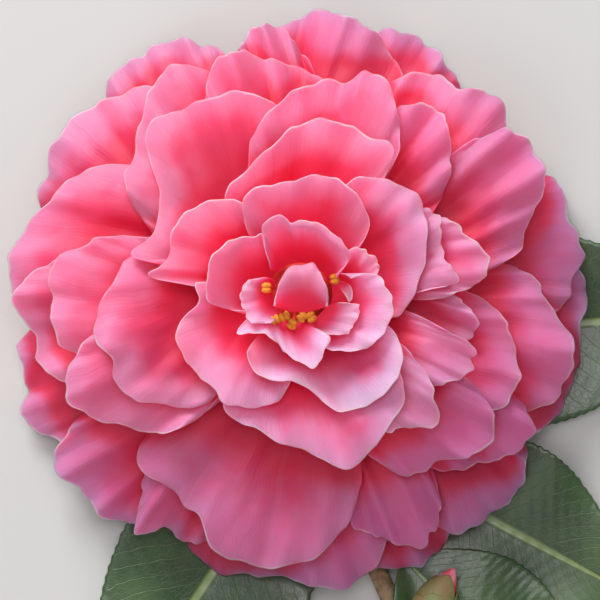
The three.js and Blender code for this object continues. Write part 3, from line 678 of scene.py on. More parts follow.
def fill_petal_skin(nodes, inlet):
    """Red in the throat, pink on the blade, pale towards the rim, and veined from claw to rim; over these
    lie painted shade, glow, reflection and highlight.
    """
    across, along, _ = nodes.uv()
    place = nodes.place()
    cloud = nodes.noise(place, 70.0, 3.0)
    drift = nodes.plus(along, nodes.times(nodes.minus(cloud, 0.5), 0.35))
    # The throat's red is partly the petals' own colour and partly painted shade where they come out from
    # under the petals above.
    throat = nodes.ramp(drift, inlet["Throat start"], inlet["Throat end"], 0.95, 0.0)
    colour = nodes.mix(throat, inlet["Blade"], inlet["Throat"])
    edge = nodes.attribute("edge")
    # Paler towards the rim: partly the petals' own colour, partly a painted reflection of the sky.
    rim_width = nodes.times(inlet["Rim width"], nodes.ramp(cloud, 0.3, 0.7, 0.5, 1.4))
    pale = nodes.ramp(nodes.math("DIVIDE", edge, rim_width), 0.0, 1.0, inlet["Paleness"], 0.0)
    pale = nodes.times(pale, nodes.ramp(along, 0.3, 0.75))
    colour = nodes.mix(pale, colour, inlet["Rim"])
    # Painted shade: the petals on the shady side lean to the cool colour.
    cool = nodes.times(nodes.attribute("tone"), nodes.ramp(along, 0.3, 0.9))
    colour = nodes.mix(cool, colour, inlet["Cool"])
    sway = nodes.times(nodes.noise(place, 160.0, 2.0), 0.05)
    streak_place = nodes.vector(nodes.times(nodes.plus(across, sway), 100.0), nodes.times(along, 2.2))
    streaks = nodes.ramp(nodes.noise(streak_place, 1.0, 3.0, 0.6), 0.38, 0.68)
    fading = nodes.times(inlet["Veins"], nodes.ramp(along, 1.0, 0.5, 0.4, 1.0))
    colour = nodes.mix(nodes.times(streaks, fading), colour, inlet["Throat"])
    # A painted highlight along the rim, in ragged stretches, which fades in the painted hollow shade.
    ragged = nodes.ramp(nodes.noise(place, 150.0, 3.0), 0.38, 0.68)
    ragged = nodes.times(ragged, inlet["Line"])
    # Painted shade: a petal turns deep red where it lies deep between higher ones, and the painted glow
    # reddens the lit side's petals.
    deep = nodes.ramp(nodes.attribute("depth"), 0.12, 0.85, 0.0, inlet["Hollow shade"])
    colour = nodes.mix(nodes.math("MAXIMUM", deep, nodes.attribute("blush")), colour, inlet["Throat"])
    line = nodes.times(nodes.ramp(edge, 0.0, 0.4, 1.0, 0.0), ragged)
    line = nodes.times(line, nodes.minus(1.0, deep))
    colour = nodes.mix(line, colour, inlet["Edge"])
    fuzz = nodes.noise(place, 2600.0, 2.0)
    return {"Color": colour, "Height": nodes.minus(nodes.times(fuzz, 0.35), nodes.times(streaks, 0.8))}


def petal_skin():
    colours = ("Throat", "Blade", "Rim", "Edge", "Cool")
    return node_group("Petal skin", colours, PETAL_AMOUNTS, fill_petal_skin)


def fill_leaf_skin(nodes, inlet):
    """Deep green with paler patches, between pale veins and a paler midrib."""
    across, along, _ = nodes.uv()
    place = nodes.place()
    off = nodes.math("ABSOLUTE", nodes.minus(across, 0.5))
    cloud = nodes.noise(place, 60.0, 4.0)
    colour = nodes.mix(nodes.ramp(cloud, 0.4, 0.75), inlet["Blade"], inlet["Patch"])
    wobble = nodes.times(nodes.noise(place, 120.0, 2.0), 0.6)
    run = nodes.minus(nodes.times(along, float(LEAF_QUILTS)), nodes.times(off, 9.0))
    run = nodes.plus(run, wobble)
    wave = nodes.math("ABSOLUTE", nodes.minus(nodes.math("FRACT", run), 0.5))
    side_vein = nodes.ramp(wave, 0.045, 0.0, 0.0, 0.3)
    net = nodes.add("TexVoronoi", {"Vector": place, "Scale": 900.0}, feature="DISTANCE_TO_EDGE")
    fine = nodes.ramp(net, 0.09, 0.0, 0.0, 0.07)
    midrib = nodes.ramp(off, 0.035, 0.012)
    veins = nodes.math("MAXIMUM", nodes.math("MAXIMUM", side_vein, fine), midrib)
    return {
        "Color": nodes.mix(veins, colour, inlet["Vein"]),
        "Height": nodes.minus(nodes.times(cloud, 0.3), veins),
        "Roughness": nodes.ramp(cloud, 0.2, 0.8, 0.28, 0.42),
    }


def leaf_skin():
    return node_group("Leaf skin", ("Blade", "Patch", "Vein"), (), fill_leaf_skin, ("Height", "Roughness"))


def fill_grain(nodes, inlet):
    """Two colours blended through noise, for bark, scales and pollen."""
    coarse = nodes.noise(nodes.place(), inlet["Scale"], 5.0, 0.65)
    low = nodes.minus(0.5, inlet["Contrast"])
    high = nodes.plus(0.5, inlet["Contrast"])
    blend = nodes.ramp(coarse, low, high)
    return {"Color": nodes.mix(blend, inlet["First"], inlet["Second"]), "Height": coarse}


def grain():
    return node_group("Grain", ("First", "Second"), ("Scale", "Contrast"), fill_grain)


def skin_material(name, group, values, relief, shine):
    """A Principled material whose colour and relief come from one of the groups."""
    if name in bpy.data.materials:
        return bpy.data.materials[name]
    material = bpy.data.materials.new(name)
    material.use_nodes = True
    tree = material.node_tree
    shader = tree.nodes["Principled BSDF"]
    skin = tree.nodes.new("ShaderNodeGroup")
    skin.node_tree = group
    for key, value in values.items():
        skin.inputs[key].default_value = value
    bump = tree.nodes.new("ShaderNodeBump")
    bump.inputs["Strength"].default_value = 0.6
    bump.inputs["Distance"].default_value = relief * MM
    tree.links.new(skin.outputs["Color"], shader.inputs["Base Color"])
    tree.links.new(skin.outputs["Height"], bump.inputs["Height"])
    tree.links.new(bump.outputs["Normal"], shader.inputs["Normal"])
    if "Roughness" in skin.outputs:
        tree.links.new(skin.outputs["Roughness"], shader.inputs["Roughness"])
    for key, value in shine.items():
        shader.inputs[key].default_value = value
    return material


# Settings

def size(name, description, default):
    return bpy.props.FloatProperty(
        name=name, description=description, default=default * MM, min=0, unit="LENGTH", subtype="DISTANCE"
    )


def power(name, description, default):
    return bpy.props.FloatProperty(name=name, description=description, default=default, unit="POWER")


def colour(name, description, default):
    return bpy.props.FloatVectorProperty(
        name=name, description=description, default=(*default, 1.0), size=4, min=0, max=1, subtype="COLOR"
    )


def amount(name, description, default, most=2.0):
    return bpy.props.FloatProperty(
        name=name, description=description, default=default, min=0, max=most, subtype="FACTOR"
    )


class CamelliaPetals(bpy.types.PropertyGroup):
    """Sizes and colours of the petals"""

    thickness: size("Thickness", "Thickness of a petal", 0.38)
    ruffle: amount("Ruffle", "Height of the waves along the rims", 1.0)
    seed: bpy.props.IntProperty(
        name="Seed", description="Which set of waves and nicks the rims get", default=7, min=0
    )
    # The throat colour is partly the petals' own red and partly painted shade near their claws.
    throat: colour("Throat", "Colour of a petal near its claw", (0.94, 0.022, 0.070))
    blade: colour("Blade", "Colour of the middle of a petal", (0.95, 0.080, 0.20))
    # The rim colours are partly the petals' own paler colour and partly a painted reflection of the sky;
    # the heart rim is paler still, partly a painted highlight.
    rim: colour("Rim", "Colour of a petal towards its rim", (0.97, 0.31, 0.50))
    heart_rim: colour("Heart rim", "Colour of the innermost petals towards their rims", (1.0, 0.40, 0.64))
    # The edge colour is a painted highlight along the rims.
    edge: colour("Edge", "Colour of the thin line along a rim", (0.99, 0.66, 0.79))
    # The cool colour is painted shade for the petals on the shady side.
    cool: colour("Cool", "Colour that the shadier petals lean to", (0.52, 0.10, 0.28))
    glow: amount("Glow", "How far light spreads under a petal's skin", 0.85, 1.0)


class CamelliaGreens(bpy.types.PropertyGroup):
    """Sizes and colours of the twig, leaves, bud and calyx"""

    leaf_thickness: size("Leaf thickness", "Thickness of a leaf", 0.5)
    leaf: colour("Leaf", "Colour of a leaf's blade", (0.018, 0.05, 0.014))
    leaf_patch: colour("Leaf patches", "Colour of the paler patches on a leaf", (0.05, 0.105, 0.028))
    leaf_vein: colour("Leaf veins", "Colour of a leaf's midrib and veins", (0.17, 0.24, 0.075))
    bark: colour("Bark", "Colour of the twig's bark", (0.16, 0.085, 0.045))
    bark_light: colour("Light bark", "Colour of the bark's paler streaks", (0.30, 0.21, 0.12))
    scale: colour("Scales", "Colour of the sepals and the bud's scales", (0.16, 0.21, 0.065))
    scale_brown: colour("Brown scales", "Colour of the dry patches on the scales", (0.25, 0.15, 0.07))


class CamelliaStamens(bpy.types.PropertyGroup):
    """Sizes and colours of the stamens"""

    filament: size("Filament", "Diameter of a filament", 0.7)
    anther: size("Anther", "Length of an anther", 1.9)
    pollen: colour("Pollen", "Colour of the anthers", (0.80, 0.33, 0.035))
    pollen_dark: colour("Dark pollen", "Colour of the anthers' shaded grains", (0.52, 0.15, 0.012))
    stalk: colour("Stalk", "Colour of the filaments", (0.72, 0.07, 0.03))
    seat: colour("Seat", "Colour of the cone that the petals sit on", (0.70, 0.03, 0.05))


class CamelliaStudio(bpy.types.PropertyGroup):
    """The floor, the lights and the camera"""

    floor: colour("Floor", "Colour of the floor", (0.52, 0.52, 0.51))
    key_power: power("Key power", "Power of the key light", 13.5)
    top_power: power("Top power", "Power of the light overhead", 4.0)
    fill_power: power("Fill power", "Power of the fill light", 2.8)
    sky: amount("Sky", "Strength of the light from all round", 0.32)
    camera_height: size("Camera height", "Height of the camera above the floor", 1000.0)
    view_half: size("Half view", "Half the width that the camera sees at the petals' rims", 55.55)


# Materials

def petal_material(kind):
    settings = bpy.context.scene.camellia_petals
    values = dict(zip(PETAL_AMOUNTS, PETAL_SKINS[kind]))
    for key in ("Throat", "Blade", "Edge", "Cool"):
        values[key] = getattr(settings, key.lower())
    values["Rim"] = settings.heart_rim if kind == "Heart" else settings.rim
    shine = {
        "Roughness": 0.5,
        "Specular IOR Level": 0.25,
        "Subsurface Weight": settings.glow,
        "Subsurface Radius": (1.0, 0.25, 0.35),
        "Subsurface Scale": 4.0 * MM,
    }
    return skin_material(f"{kind} petals", petal_skin(), values, 0.06, shine)


def leaf_material():
    settings = bpy.context.scene.camellia_greens
    values = {"Blade": settings.leaf, "Patch": settings.leaf_patch, "Vein": settings.leaf_vein}
    shine = {
        "Specular IOR Level": 0.5,
        "Coat Weight": 0.25,
        "Coat Roughness": 0.2,
        "Subsurface Weight": 0.05,
        "Subsurface Scale": 0.6 * MM,
    }
    return skin_material("Waxy leaf", leaf_skin(), values, 0.35, shine)


def grain_material(name, first, second, scale, contrast, relief, shine):
    values = {"First": first, "Second": second, "Scale": scale, "Contrast": contrast}
    return skin_material(name, grain(), values, relief, shine)


def bark_material():
    settings = bpy.context.scene.camellia_greens
    shine = {"Roughness": 0.85}
    return grain_material("Bark", settings.bark, settings.bark_light, 420.0, 0.14, 0.5, shine)


def scale_material():
    settings = bpy.context.scene.camellia_greens
    shine = {"Roughness": 0.55, "Subsurface Weight": 0.1, "Subsurface Scale": 0.6 * MM}
    return grain_material("Silky scales", settings.scale, settings.scale_brown, 260.0, 0.16, 0.12, shine)


# Making pieces

def bend_closed(bm, columns, rows, place, merge=2e-6):
    """Bends a grid into a closed skin: its seam and poles are merged, and open ends filled."""
    verts = list(bend_grid(bm, columns, rows, place))
    bmesh.ops.remove_doubles(bm, verts=verts, dist=merge)
    verts = [vert for vert in verts if vert.is_valid]
    edges = list({edge for vert in verts for edge in vert.link_edges if edge.is_boundary})
    bmesh.ops.holes_fill(bm, edges=edges, sides=0)
    faces = list({face for vert in verts for face in vert.link_faces})
    bmesh.ops.recalc_face_normals(bm, faces=faces)


def tube(bm, path, radius, sides, rows):
    """Adds a closed tube round a path: both path and radius depend on the share of the way along."""
    def place(across, along):
        ahead = (path(along + 0.01) - path(along - 0.01)).normalized()
        right = ahead.cross(Vector((0, 0, 1))).normalized()
        up = right.cross(ahead)
        angle = 2 * math.pi * across
        return path(along) + (right * math.cos(angle) + up * math.sin(angle)) * radius(across, along)

    bend_closed(bm, sides, rows, place, 1e-7)


def twig_point(distance):
    bend = 1.4 * math.sin(distance / 9)
    point = polar(TWIG["azimuth"], distance) + polar(TWIG["azimuth"] + 90, bend)
    return Vector((*point, TWIG["radius"] + 0.02))


class MakeTwig(bpy.types.Operator):
    """Draw the twig that carries the bloom, with its ring of leaf joints and its cut end"""

    bl_idname = "camellia.make_twig"
    bl_label = "Twig"

    def execute(self, context):
        bm = bmesh.new()
        start, end = -1.5, TWIG["length"]

        def path(along):
            return twig_point(start + along * (end - start))

        def radius(across, along):
            distance = start + along * (end - start)
            joint = sum(math.exp(-(((distance - leaf.at) / 1.6) ** 2)) for leaf in LEAVES)
            ridge = 0.05 * math.sin(2 * math.pi * (3 * across + 2.5 * along))
            return (TWIG["radius"] - 0.25) * (0.84 + 0.14 * along + 0.1 * joint + ridge)

        tube(bm, path, radius, 28, 90)
        piece = finish_mesh("cut_twig", bm)
        dress(piece, bark_material(), "twig")
        points = []
        for distance in np.linspace(start, end, 400):
            for off in np.linspace(-TWIG["radius"], TWIG["radius"], 13):
                spot = polar(TWIG["azimuth"] + 90, off) + np.array(twig_point(distance))[:2]
                points.append((*spot, TWIG["radius"] + math.sqrt(max(0, TWIG["radius"] ** 2 - off * off))))
        BED.lay(np.array(points), LEAF_THICKNESS / 2 + SEAT_GAP)
        return {"FINISHED"}


def leaf_plan(leaf, random):
    """A leaf's middle surface with a finely toothed margin, and its folds and waves."""
    columns, rows = 16, 120
    start = np.array(twig_point(leaf.at))[:2]
    start = start + polar(TWIG["azimuth"] + 90 * leaf.side, TWIG["radius"] + 0.35)
    ahead, leftwards = polar(leaf.azimuth, 1), polar(leaf.azimuth + 90, 1)
    u = np.linspace(-1, 1, columns + 1)[None, :]
    along = np.linspace(0, leaf.length, rows + 1)[:, None]
    blade = np.clip((along - PETIOLE["length"]) / (leaf.length - PETIOLE["length"]), 0, 1)
    tooth = 1 - 0.035 * ((blade * LEAF_TEETH) % 1) * (blade > 0.08) * (blade < 0.97)
    width = leaf.half_width * np.sin(math.pi * blade**0.8) * tooth
    width = np.maximum(PETIOLE["half_width"] * (1 - 0.3 * (along / leaf.length)), width)
    width = np.where(blade >= 1, 0.15, width)
    plan = start + ahead * along[..., None] + leftwards * (u * width)[..., None]
    fold = LEAF_FOLD * np.abs(u) * width * (blade > 0)
    swell = np.sin(2 * math.pi * (LEAF_QUILTS * along / leaf.length - 4.5 * np.abs(u)))
    quilt = 0.14 * swell * np.sin(math.pi * np.abs(u))
    wave = 0.9 * np.sin(5 * math.pi * blade + random.uniform(0, 6)) * np.abs(u) ** 2
    wave = np.maximum(wave * np.sin(math.pi * blade), -fold * 0.6)
    height = LEAF_FLOOR + fold + wave + quilt * np.sin(math.pi * blade)
    return np.dstack([plan, height])


class MakeLeaves(bpy.types.Operator):
    """Lay the four toothed, glossy leaves on the floor and over the twig"""

    bl_idname = "camellia.make_leaves"
    bl_label = "Leaves"

    def execute(self, context):
        settings = context.scene.camellia_greens
        for k, leaf in enumerate(LEAVES, 1):
            sheet = leaf_plan(leaf, np.random.default_rng(k))
            lift_clear(sheet)
            BED.lay(spread(sheet)[0], LEAF_THICKNESS / 2 + CAD_PETAL_HALF + SEAT_GAP)
            piece = sheet_mesh(f"toothed_leaf_{k}", sheet)
            thicken(piece, settings.leaf_thickness)
            dress(piece, leaf_material(), f"leaf_{k}")
        return {"FINISHED"}


def surface_of(rows, columns, point):
    """A grid of points over a shape, to lay on the bed."""
    return np.array([
        [tuple(point(i / columns, j / rows)) for i in range(columns + 1)] for j in range(rows + 1)
    ])


class MakeBud(bpy.types.Operator):
    """Wrap the closed bud in its overlapping scales, with the pink petals showing at its tip"""

    bl_idname = "camellia.make_bud"
    bl_label = "Bud"

    def execute(self, context):
        ahead = Vector((*polar(BUD["azimuth"], 1), 0))
        right = Vector((*polar(BUD["azimuth"] - 90, 1), 0))
        out = Vector((*polar(TWIG["azimuth"] + 90, TWIG["radius"] + 0.4), 0))
        start = twig_point(BUD["at"]) + out
        start.z = 0
        length, fat = BUD["length"] - 0.6, BUD["radius"] - 0.45

        def core(across, along, grow=0.0):
            swell = math.sin(math.pi * min(1, max(0, along)) ** 0.8) ** 0.75 * (1 - 0.12 * along)
            angle = 2 * math.pi * across
            reach = (fat + grow) * swell
            side = right * (math.cos(angle) * reach)
            return start + ahead * (0.4 + along * length) + side + Vector((0, 0, math.sin(angle) * reach))

        points = surface_of(30, 40, core)
        low = max(BUD["radius"], (BED.under(points) - CAD_PETAL_HALF - points[..., 2]).max() + 0.5)
        rise = Vector((0, 0, low))
        tip = bmesh.new()

        def petals(across, along):
            lobe = 0.25 * max(0, math.sin(2 * math.pi * (3 * across + 0.8 * along)))
            return core(across, 0.35 + 0.65 * along, lobe * along - 0.25) + rise

        # The tip has no UVMap, so its skin is the red of the throat all over.
        bend_closed(tip, 36, 20, petals)
        dress(finish_mesh("bud_petals", tip), petal_material("Heart"), "bud")

        scales = bmesh.new()
        for k in range(7):

            def scale(across, along, ring=k // 2, turn=k * 0.38):
                reach, half = BUD_RINGS[ring]
                narrow = math.sqrt(max(0.0, 1 - along**4)) * 0.96 + 0.04
                grow = 0.42 - 0.09 * ring + 0.1 * along
                return core(turn + (0.5 - across) * 2 * half * narrow, 0.02 + along * reach, grow) + rise

            bend_grid(scales, 14, 12, scale)
        piece = finish_mesh("bud_scales", scales)
        thicken(piece, 0.22 * MM)
        dress(piece, scale_material(), "bud")
        BED.lay(points + np.array(rise), CAD_PETAL_HALF + SEAT_GAP)
        return {"FINISHED"}


class MakeCalyx(bpy.types.Operator):
    """Cup the overlapping sepals under the bloom"""

    bl_idname = "camellia.make_calyx"
    bl_label = "Calyx"

    def execute(self, context):
        bm = bmesh.new()
        for k in range(CALYX["sepals"]):

            def sepal(across, along, inner=k % 2, turn=360 / CALYX["sepals"] * k + 10):
                side = 1 - 2 * across
                half = (30 + 4 * inner) * math.sqrt(max(0.0, 1 - (along**3) * 0.75))
                reach = CALYX["radius"] - 0.6 * inner - CALYX["stalk"]
                out = CALYX["stalk"] + reach * along * (1 - 0.1 * side * side)
                height = CALYX["foot"] + 0.2 + 0.35 * inner
                height += CALYX["depth"] * (out / CALYX["radius"]) ** CALYX["curve"]
                return (*polar(turn + half * side, out), height - 0.5 * side * side * along)

            bend_grid(bm, 12, 12, sepal)
        piece = finish_mesh("sepals", bm)
        thicken(piece, 0.35 * MM)
        dress(piece, scale_material(), "calyx")

        def cup(across, along):
            height = CALYX["foot"] + 0.9 + CALYX["depth"] * along ** CALYX["curve"]
            return (*polar(360 * across, CALYX["radius"] * along), min(CALYX["rim"], height))

        BED.lay(surface_of(40, 120, cup), CAD_PETAL_HALF + SEAT_GAP + 0.2)
        return {"FINISHED"}


class MakeReceptacle(bpy.types.Operator):
    """Build up the fleshy cone that the petals' claws sit on"""

    bl_idname = "camellia.make_receptacle"
    bl_label = "Receptacle"

    def execute(self, context):
        bm = bmesh.new()
        outline = (
            (0.0, RECEPTACLE["foot"]),
            (RECEPTACLE["foot_width"], RECEPTACLE["foot"]),
            (RECEPTACLE["wide"], RECEPTACLE["shoulder"]),
            (RECEPTACLE["narrow"], RECEPTACLE["top"]),
            (0.0, RECEPTACLE["top"]),
        )
        run = [0.0]
        for (r0, z0), (r1, z1) in zip(outline, outline[1:]):
            run.append(run[-1] + math.hypot(r1 - r0, z1 - z0))

        def cone(across, along):
            spot = along * run[-1]
            reach = float(np.interp(spot, run, [r for r, _ in outline]))
            height = float(np.interp(spot, run, [z for _, z in outline]))
            scar = 0.5 - 0.5 * math.cos(2 * math.pi * (SCARS["round"] * across + SCARS["twist"] * height))
            ring = 0.5 - 0.5 * math.cos(2 * math.pi * height / SCARS["apart"])
            return (*polar(360 * across, max(0, reach - SCARS["depth"] * (1 - scar * ring))), height)

        bend_closed(bm, 96, 60, cone)
        piece = finish_mesh("petal_seat", bm)
        settings = context.scene.camellia_stamens
        shine = {"Roughness": 0.6}
        seat = grain_material("Petal seat", settings.seat, settings.stalk, 400.0, 0.2, 0.1, shine)
        dress(piece, seat, "receptacle")
        return {"FINISHED"}


# Each whorl's petal skin, how much redder its petals on the lit side are painted, a painted glow as of
# light shining through them, and how far they lean to the cool colour of painted shade on the shady side.
Look = namedtuple("Look", "skin blush shade")
LOOKS = {
    "back": Look("Outer", 0.1, 0.9),
    "outer": Look("Outer", 0.2, 0.8),
    "middle": Look("Outer", 0.25, 0.7),
    "inner": Look("Inner", 0.4, 0.3),
    "cup": Look("Heart", 0.65, 0.05),
    "heart": Look("Heart", 0.3, 0),
    "tongue": Look("Heart", 0.5, 0),
}
# The azimuths of the side whose petals get the painted glow and of the side whose petals get the painted
# shade.
LIT_SIDE = 125
SHADY_SIDE = -35
BODY_MARGIN = 4.0  # how far in from its outline a petal reaches its full thickness
RIM_SHARE = 0.4  # the share of its full thickness that a petal has at its rim


def make_petal(petal, name, node, claw_height, seed):
    """Grows one petal, lets it settle on those below it, and lays it on the bed."""
    settings = bpy.context.scene.camellia_petals
    random = np.random.default_rng(seed)
    sheet, u, v, length = petal_sheet(petal, claw_height)
    ruffle(sheet, u, v, settings.ruffle * np.clip(length / FULL_RUFFLE, 0.5, 1), petal.folds, random)
    lift_clear(sheet)
    sheet[..., 2] = np.minimum(sheet[..., 2], CAD_BOX[1][2] / MM - TOP_MARGIN)
    BED.lay(spread(sheet)[0], PETAL_SPACING)
    look = LOOKS[petal.whorl]
    middle = (petal.rim[0][0] + petal.rim[-1][0]) / 2
    # Painted shade: how far the petal leans to the cool colour, most on the shady side, by a random share.
    shade = 0.5 + 0.5 * math.cos(math.radians(middle - SHADY_SIDE))
    tone = np.full(sheet.shape[:2], look.shade * shade * random.uniform(0.6, 1.2))
    # Painted glow: how much redder the petal is painted on the lit side, as of light shining through it.
    lit_through = max(0, math.cos(math.radians(middle - LIT_SIDE)))
    blush = np.full(sheet.shape[:2], look.blush * lit_through)
    piece = sheet_mesh(name, sheet, edge=edge_distance(sheet), tone=tone, blush=blush)
    body = piece.vertex_groups.new(name="body")
    for vert, value in zip(piece.data.vertices, piece.data.attributes["edge"].data):
        body.add([vert.index], min(1.0, value.value / BODY_MARGIN), "REPLACE")
    thicken(piece, settings.thickness, RIM_SHARE)
    dress(piece, petal_material(look.skin), node)


class MakeWhorl:
    """What the whorls' operators share: petals laid in the table's order."""

    def execute(self, context):
        seed = context.scene.camellia_petals.seed
        count = 0
        for k, petal in enumerate(PETALS):
            if petal.whorl != self.whorl:
                continue
            count += 1
            name, node = f"{self.whorl}_{count}_petal", f"{self.whorl}_petal_{count}"
            make_petal(petal, name, node, CALYX["rim"] + 0.8 + k * CLAW_PITCH, (seed, k))
        return {"FINISHED"}


class MakeBackPetals(MakeWhorl, bpy.types.Operator):
    """Spread the thirteen lowest petals out behind the bloom"""

    bl_idname = "camellia.make_back_petals"
    bl_label = "Back petals"
    whorl = "back"


class MakeOuterPetals(MakeWhorl, bpy.types.Operator):
    """Lay the ten wide petals that make the bloom's outline"""

    bl_idname = "camellia.make_outer_petals"
    bl_label = "Outer petals"
    whorl = "outer"


class MakeMiddlePetals(MakeWhorl, bpy.types.Operator):
    """Lay the eight petals half way in"""

    bl_idname = "camellia.make_middle_petals"
    bl_label = "Middle petals"
    whorl = "middle"


class MakeInnerPetals(MakeWhorl, bpy.types.Operator):
    """Lay the ten inner petals that stand up round the cup"""

    bl_idname = "camellia.make_inner_petals"
    bl_label = "Inner petals"
    whorl = "inner"


class MakeCupPetals(MakeWhorl, bpy.types.Operator):
    """Close the cup with its six petals"""

    bl_idname = "camellia.make_cup_petals"
    bl_label = "Cup petals"
    whorl = "cup"


class MakeHeartPetals(MakeWhorl, bpy.types.Operator):
    """Lay the three small petals round the stamens"""

    bl_idname = "camellia.make_heart_petals"
    bl_label = "Heart petals"
    whorl = "heart"


class MakeStamens(bpy.types.Operator):
    """Stand the stamens on the receptacle, each filament with its two-lobed anther"""

    bl_idname = "camellia.make_stamens"
    bl_label = "Stamens"

    def execute(self, context):
        settings = context.scene.camellia_stamens
        random = np.random.default_rng(11)
        filaments, anthers = bmesh.new(), bmesh.new()
        base = RECEPTACLE["top"] + SEAT_GAP
        for x, y, rise in ANTHERS:
            head = Vector((x, y, STAMENS["height"] + rise))
            turn = math.degrees(math.atan2(y, x))
            heel = Vector((*polar(turn, min(STAMENS["foot"], math.hypot(x, y))), base))
            bow = Vector((*polar(turn + random.uniform(-60, 60), 0.35), 0.4))

            def path(along, heel=heel, head=head, bow=bow):
                return heel.lerp(head, along) + bow * math.sin(math.pi * along)

            def radius(across, along):
                return settings.filament / MM / 2 * (1.1 - 0.35 * along)

            tube(filaments, path, radius, 10, 14)
            spin = Matrix.Rotation(random.uniform(0, math.pi), 4, "Z")
            spin = spin @ Matrix.Rotation(random.uniform(-0.5, 0.5), 4, "X")
            for side in (-1, 1):
                stretch = (LOBE["width"] * MM, settings.anther / 2, LOBE["depth"] * MM, 1)
                lobe = Matrix.Translation((head + AXIS) * MM) @ spin
                lobe = lobe @ Matrix.Translation((side * LOBE["off"] * MM, 0, 0)) @ Matrix.Diagonal(stretch)
                bmesh.ops.create_uvsphere(anthers, u_segments=14, v_segments=10, radius=1, matrix=lobe)
        for face in anthers.faces:
            face.smooth = True
        plate = Matrix.Translation(Vector((AXIS.x, AXIS.y, base + STAMENS["thickness"] / 2)) * MM)
        bmesh.ops.create_cone(
            filaments, cap_ends=True, segments=48, radius1=STAMENS["disc"] * MM,
            radius2=(STAMENS["disc"] - 0.4) * MM, depth=STAMENS["thickness"] * MM, matrix=plate,
        )
        stalk = grain_material(
            "Filament", settings.stalk, settings.seat, 500.0, 0.3, 0.05,
            {"Roughness": 0.5, "Subsurface Weight": 0.3, "Subsurface Scale": 0.8 * MM},
        )
        pollen = grain_material(
            "Pollen", settings.pollen, settings.pollen_dark, 2400.0, 0.2, 0.25, {"Roughness": 0.9}
        )
        dress(finish_mesh("filaments", filaments), stalk, "stamens")
        dress(finish_mesh("anthers", anthers), pollen, "stamens")
        heads = np.array([[(x, y, STAMENS["height"] + rise + 0.6)] for x, y, rise in ANTHERS])
        BED.lay(heads, 1.2)
        return {"FINISHED"}


def curl_sheet():
    """The middle surface of a narrow, bowed and hollowed slip that rises from its foot to its tip."""
    along = np.linspace(0, 1, 17)[:, None]
    across = np.linspace(-1, 1, 7)[None, :]
    foot, tip = np.array(CURL["foot"]), np.array(CURL["tip"])
    ahead = (tip - foot) / np.linalg.norm(tip - foot)
    side = np.array([-ahead[1], ahead[0]])
    half = CURL["half_width"] * np.sin(math.pi * np.clip(0.08 + 0.84 * along, 0, 1)) ** 0.7
    bow = CURL["bow"] * np.sin(math.pi * along)
    plan = foot + (tip - foot) * along[..., None] + side * (half * across + bow)[..., None]
    height = CURL["height"] + CURL["rise"] * along + CURL["hollow"] * across**2 * half
    return np.dstack([plan, height])


class MakeTongue(bpy.types.Operator):
    """Raise the small petal in the very middle, and the curl beside the right-hand stamen"""

    bl_idname = "camellia.make_tongue"
    bl_label = "Tongue"

    def execute(self, context):
        claw_height = RECEPTACLE["top"] + STAMENS["thickness"] + 2 * SEAT_GAP
        make_petal(TONGUE, "middle_tongue", "tongue_petal", claw_height, 99)
        sheet = curl_sheet()
        flat = np.zeros(sheet.shape[:2])
        piece = sheet_mesh("side_curl", sheet, edge=edge_distance(sheet), tone=flat, blush=flat)
        thicken(piece, context.scene.camellia_petals.thickness / 2)
        dress(piece, petal_material("Heart"), "tongue_petal")
        return {"FINISHED"}


HOLLOW_REACH = 4.0  # how far round it a point compares its height
HOLLOW_DEPTH = 6.0  # how deep it lies where its painted hollow shade is full


def blurred(heights, reach):
    """A map of heights, averaged over squares of this reach, three times over."""
    steps = round(reach / Bed.cell)
    for axis in (0, 1, 0, 1, 0, 1):
        total = np.zeros_like(heights)
        for step in range(-steps, steps + 1):
            total += np.roll(heights, step, axis)
        heights = total / (2 * steps + 1)
    return heights


class PaintHollowShade(bpy.types.Operator):
    """Mark how deep each petal lies between higher ones, where its skin paints shade as a deep red"""

    bl_idname = "camellia.redden_hollows"
    bl_label = "Painted hollow shade"

    def execute(self, context):
        around = blurred(BED.top, HOLLOW_REACH)
        for piece in context.scene.objects:
            if piece.type != "MESH" or "edge" not in piece.data.attributes:
                continue
            points = np.empty(3 * len(piece.data.vertices))
            piece.data.vertices.foreach_get("co", points)
            points = points.reshape(-1, 3) / MM - np.array(AXIS)
            depth = around[BED.cells(points)] - PETAL_SPACING - points[:, 2]
            # The depth attribute drives the painted hollow shade in the petals' skin.
            layer = piece.data.attributes.new("depth", "FLOAT", "POINT")
            layer.data.foreach_set("value", np.clip(depth / HOLLOW_DEPTH, 0, 1))
        return {"FINISHED"}


AIM_HEIGHT = 20  # the height that the lights and the camera aim at
AIM_BELOW = 1.3  # how far below the bloom's axis the view's middle is


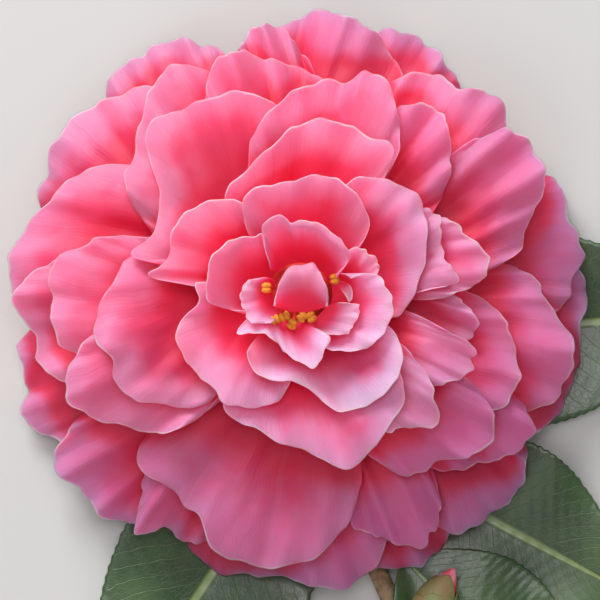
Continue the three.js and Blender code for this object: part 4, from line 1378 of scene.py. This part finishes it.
class MakeStudio(bpy.types.Operator):
    """Put the part on a pale floor under soft lights, with the camera straight above"""

    bl_idname = "camellia.make_studio"
    bl_label = "Studio"

    def execute(self, context):
        scene, settings = context.scene, context.scene.camellia_studio
        bm = bmesh.new()
        bmesh.ops.create_grid(bm, x_segments=1, y_segments=1, size=3)
        floor = finish_mesh("studio_floor", bm)
        paper = bpy.data.materials.new("Paper")
        paper.use_nodes = True
        shader = paper.node_tree.nodes["Principled BSDF"]
        shader.inputs["Base Color"].default_value = settings.floor
        shader.inputs["Roughness"].default_value = 0.9
        floor.data.materials.append(paper)

        world = bpy.data.worlds.new("Soft sky")
        world.use_nodes = True
        background = world.node_tree.nodes["Background"]
        background.inputs["Color"].default_value = (1.0, 0.97, 0.98, 1.0)
        background.inputs["Strength"].default_value = settings.sky
        scene.world = world
        scene.view_settings.view_transform = "Standard"

        target = Vector((AXIS.x, AXIS.y, AIM_HEIGHT)) * MM
        self.add_light("Key", settings.key_power, 0.5, target, 112, 34, 1.1)
        self.add_light("Top", settings.top_power, 0.5, target, 100, 80, 1.1)
        self.add_light("Fill", settings.fill_power, 0.9, target, -125, 50, 1.2)

        camera = bpy.data.cameras.new("Camera")
        camera.clip_start = 0.01
        height = settings.camera_height
        camera.angle = 2 * math.atan(settings.view_half / (height - AIM_HEIGHT * MM))
        seen = bpy.data.objects.new("Camera", camera)
        seen.location = (AXIS.x * MM, (AXIS.y - AIM_BELOW) * MM, height)
        scene.collection.objects.link(seen)
        scene.camera = seen
        return {"FINISHED"}

    def add_light(self, name, power, size, target, azimuth, elevation, distance):
        light = bpy.data.lights.new(name, "AREA")
        light.energy = power
        light.size = size
        lamp = bpy.data.objects.new(name, light)
        tilt = math.radians(elevation)
        away = Vector((*polar(azimuth, math.cos(tilt)), math.sin(tilt)))
        lamp.location = target + away * distance
        lamp.rotation_euler = away.to_track_quat("Z", "Y").to_euler()
        bpy.context.scene.collection.objects.link(lamp)


SETTINGS = {
    "camellia_petals": CamelliaPetals,
    "camellia_greens": CamelliaGreens,
    "camellia_stamens": CamelliaStamens,
    "camellia_studio": CamelliaStudio,
}
# In the order in which the pieces are laid on the bed.
OPERATORS = (
    MakeTwig, MakeLeaves, MakeBud, MakeCalyx, MakeReceptacle, MakeBackPetals, MakeOuterPetals,
    MakeMiddlePetals, MakeInnerPetals, MakeCupPetals, MakeHeartPetals, MakeStamens, MakeTongue,
    PaintHollowShade, MakeStudio,
)


class CamelliaPanel(bpy.types.Panel):
    """Lists the bloom's settings and the pieces to make"""

    bl_idname = "VIEW3D_PT_camellia"
    bl_label = "Camellia bloom"
    bl_space_type = "VIEW_3D"
    bl_region_type = "UI"
    bl_category = "Camellia"

    def draw(self, context):
        for name, group in SETTINGS.items():
            box = self.layout.box()
            for key in group.__annotations__:
                box.prop(getattr(context.scene, name), key)
        for operator in OPERATORS:
            self.layout.operator(operator.bl_idname)


CLASSES = (*SETTINGS.values(), *OPERATORS, CamelliaPanel)


def register():
    for item in CLASSES:
        bpy.utils.register_class(item)
    for name, group in SETTINGS.items():
        setattr(bpy.types.Scene, name, bpy.props.PointerProperty(type=group))


def unregister():
    for name in SETTINGS:
        delattr(bpy.types.Scene, name)
    for item in reversed(CLASSES):
        bpy.utils.unregister_class(item)


def main():
    register()
    for operator in OPERATORS:
        group, name = operator.bl_idname.split(".")
        getattr(getattr(bpy.ops, group), name)()


if __name__ == "__main__":
    main()
